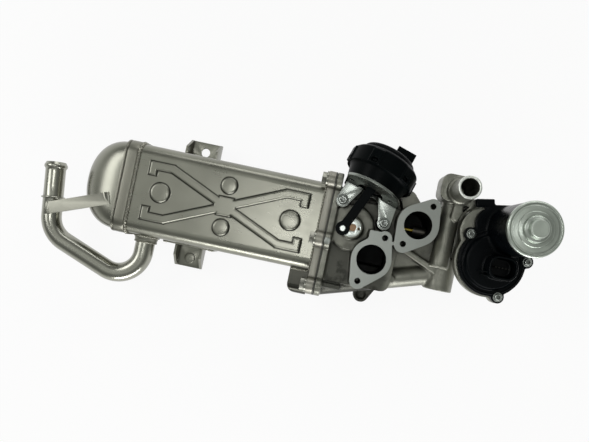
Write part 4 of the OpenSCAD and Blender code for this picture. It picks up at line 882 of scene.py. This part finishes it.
# The tinned pins deep in the connector are nearly black, as painted shade.
shaded_tin = sheet_steel("tin_in_painted_shade", (0.030, 0.030, 0.028), 0.50)
dress(shaded_tin, "connector_pins")


def drawn_zinc(name, colour, centre):
    """Zinc plate over a drawn cap: turning rings about its axis, pale cloudy passivation and painted shade
    in its creases.
    """
    made = Finish(name, metallic=1.0)
    move = {0: made.place, 1: centre}
    across = made.node("VectorMath", {"operation": "SUBTRACT"}, move)
    flat = made.node("VectorMath", {"operation": "MULTIPLY"}, {0: across, 1: (1, 1, 0)})
    radius = made.node("VectorMath", {"operation": "LENGTH"}, {0: flat}, output="Value")
    rings = made.node("TexNoise", {"noise_dimensions": "1D"}, {"W": radius, "Scale": 500.0, "Detail": 1.0})
    cloud = made.noise(0.008, 3)
    clean = made.mix(made.band(cloud, 0.3, 0.7), tone(*colour, 0.86), tone(*colour))
    # The creases are darkened as painted shade.
    made.set({"base_color": made.mix(0.85 * made.crease_shade_mask(0.006, 0.50, 0.97), clean, tone(*colour, 0.25))})
    made.set({"roughness": 0.36 + 0.10 * (rings - 0.5) + 0.10 * (cloud - 0.5)})
    made.relief((cloud, 0.00002))
    return made


MOTOR_AT = (0.106, 0.0453)
motor_zinc = drawn_zinc("motor_zinc", (0.50, 0.545, 0.490), (*MOTOR_AT, 0))
# Section of the cap in millimetres, radius and height; the lift lengthens its wall
CAP = (
    (18.4, -7.7), (18.4, 34.0), (20.1, 34.0), (20.4, 34.3), (20.4, 36.7), (20.2, 37.5), (19.6, 38.1),
    (18.8, 38.35), (18.2, 38.2), (17.9, 37.95), (17.5, 37.9), (17.0, 38.1), (16.6, 38.35), (16.0, 38.45),
    (13.6, 38.5), (13.2, 38.65), (13.0, 39.0), (12.8, 39.3), (12.4, 39.5), (10.6, 39.6), (10.2, 39.75),
    (9.9, 40.2), (9.7, 41.4), (9.4, 42.2), (8.9, 42.6), (7.7, 42.8), (7.3, 43.1), (7.05, 43.8),
    (6.75, 46.6), (6.5, 47.4), (6.0, 47.9), (5.4, 48.0), (4.8, 47.95), (0, 47.9), (0, 47.0), (5.4, 47.0),
    (6.0, 42.4), (8.6, 41.6), (9.0, 38.8), (11.6, 37.5), (17.4, 37.5), (17.4, -7.7), (18.4, -7.7),
)
CAP_LIFT = 6.5
cap_rings = [(r / 1000, (h + CAP_LIFT if h > 0 else h) / 1000, 0) for r, h in CAP]
cap = lathe("motor_cap", MOTOR_AT, cap_rings, 96)
keep(soften(cap, 30), motor_zinc, "motor_zinc", "motor_can")


# Drive inside the valve
# Motor parts with a brass pinion, plastic gears on steel pins, and the poppet valve with its stem,
# guide, seat and spring. Castings and cover close them in, and the stem shows in the outlet bore.
dress(soot, "valve_disc", "valve_seat")
brass = sheet_steel("brass_stem", (0.78, 0.60, 0.12), 0.32)
dress(brass, "valve_stem", "motor_pinion")
sooted_steel = sheet_steel("sooted_steel", (0.20, 0.19, 0.165), 0.45)
dress(sooted_steel, "stem_guide")
dress(turned_steel, "motor_shaft", "idler_pin", "output_pin", "stem_yoke", "motor_end_plate")
spring("valve_spring", "closing_spring", (-1, 0, 0))
ivory = moulded("ivory_gear_plastic", (0.70, 0.66, 0.54), 0.4, 0.00002, 0.4)
dress(ivory, "idler_gear", "output_gear", "crank_roller")
ferrite = moulded("ferrite", (0.04, 0.04, 0.043), 0.5, 0.00003, 0.3)
dress(ferrite, "motor_magnets")
copper = sheet_steel("copper_winding", (0.55, 0.29, 0.16), 0.35)
dress(copper, "motor_armature")


# Floor, light and camera
# A sheet of white paper under soft boxes, in a room that is bright low down and in a ring high up. The
# camera hangs above the gas faces and looks straight down.
FLOOR_Z = -0.0701
bpy.ops.mesh.primitive_plane_add(size=8, location=(0, 0, FLOOR_Z))
floor = bpy.context.object
floor.name = "floor"
paper = Finish("white_paper", base_color=tone(0.9, 0.9, 0.9), roughness=0.9)
seen = paper.node("LightPath", output="Is Camera Ray") + paper.node("LightPath", output="Is Glossy Ray")
seen = seen + paper.node("LightPath", output="Is Transmission Ray")
glow = paper.node("Emission", sockets={"Color": tone(1, 1, 1), "Strength": 1.0})
matte = Flow(paper.tree, paper.shader.outputs[0])
blend = paper.node("MixShader", sockets={0: 0.9 * seen, 1: matte, 2: glow})
paper.tree.links.new(blend.socket, paper.tree.nodes["Material Output"].inputs[0])
floor.data.materials.append(paper.material)

world = bpy.data.worlds.new("studio")
bpy.context.scene.world = world
world.use_nodes = True
sky = world.node_tree
way = sky.nodes.new("ShaderNodeTexCoord")
split = sky.nodes.new("ShaderNodeSeparateXYZ")
ramp = sky.nodes.new("ShaderNodeValToRGB")
sky.links.new(way.outputs["Generated"], split.inputs[0])
sky.links.new(split.outputs["Z"], ramp.inputs[0])
sky.links.new(ramp.outputs[0], sky.nodes["Background"].inputs["Color"])
# Height in the room, from 0 at the horizon to 1 overhead, and its brightness there
LEVELS = (
    (0.0, 0.84), (0.25, 0.46), (0.45, 0.17), (0.8, 0.28),
    (0.92, 0.66), (0.955, 0.62), (0.985, 0.31), (1.0, 0.26),
)
while len(ramp.color_ramp.elements) < len(LEVELS):
    ramp.color_ramp.elements.new(0.5)
for stop, (at, level) in zip(ramp.color_ramp.elements, LEVELS):
    stop.position = at
    stop.color = tone(0.97, 1.0, 0.95, level)


AIM = Vector((-0.05, 0.01, -0.04))


def soft_box(name, at, size, power):
    """A rectangular lamp that looks at the middle of the object."""
    bpy.ops.object.light_add(type="AREA", location=at)
    lamp = bpy.context.object
    lamp.name = name
    lamp.data.shape = "RECTANGLE"
    lamp.data.size = size[0]
    lamp.data.size_y = size[1]
    lamp.data.energy = power
    lamp.rotation_euler = (AIM - Vector(at)).to_track_quat("-Z", "Y").to_euler()


soft_box("front_box", (0.20, -1.20, 0.27), (1.3, 0.26), 10.5)
soft_box("left_box", (-1.0, 0.2, 0.8), (0.7, 0.5), 3.8)
soft_box("back_box", (0.1, 1.1, 0.5), (1.2, 0.3), 2.9)
soft_box("top_box", (-0.105, 0.01, 1.3), (0.13, 0.34), 1.2)

camera = bpy.data.objects.new("camera", bpy.data.cameras.new("camera"))
bpy.context.scene.collection.objects.link(camera)
camera.location = (-0.0336, 0.0044, 0.480)
camera.rotation_euler = (0, 0, math.radians(12))
camera.data.lens = 37.83
camera.data.sensor_width = 36
camera.data.shift_x = -0.0603
camera.data.shift_y = 0.0407
camera.data.clip_start = 0.01
bpy.context.scene.camera = camera
bpy.context.scene.view_settings.view_transform = "Standard"
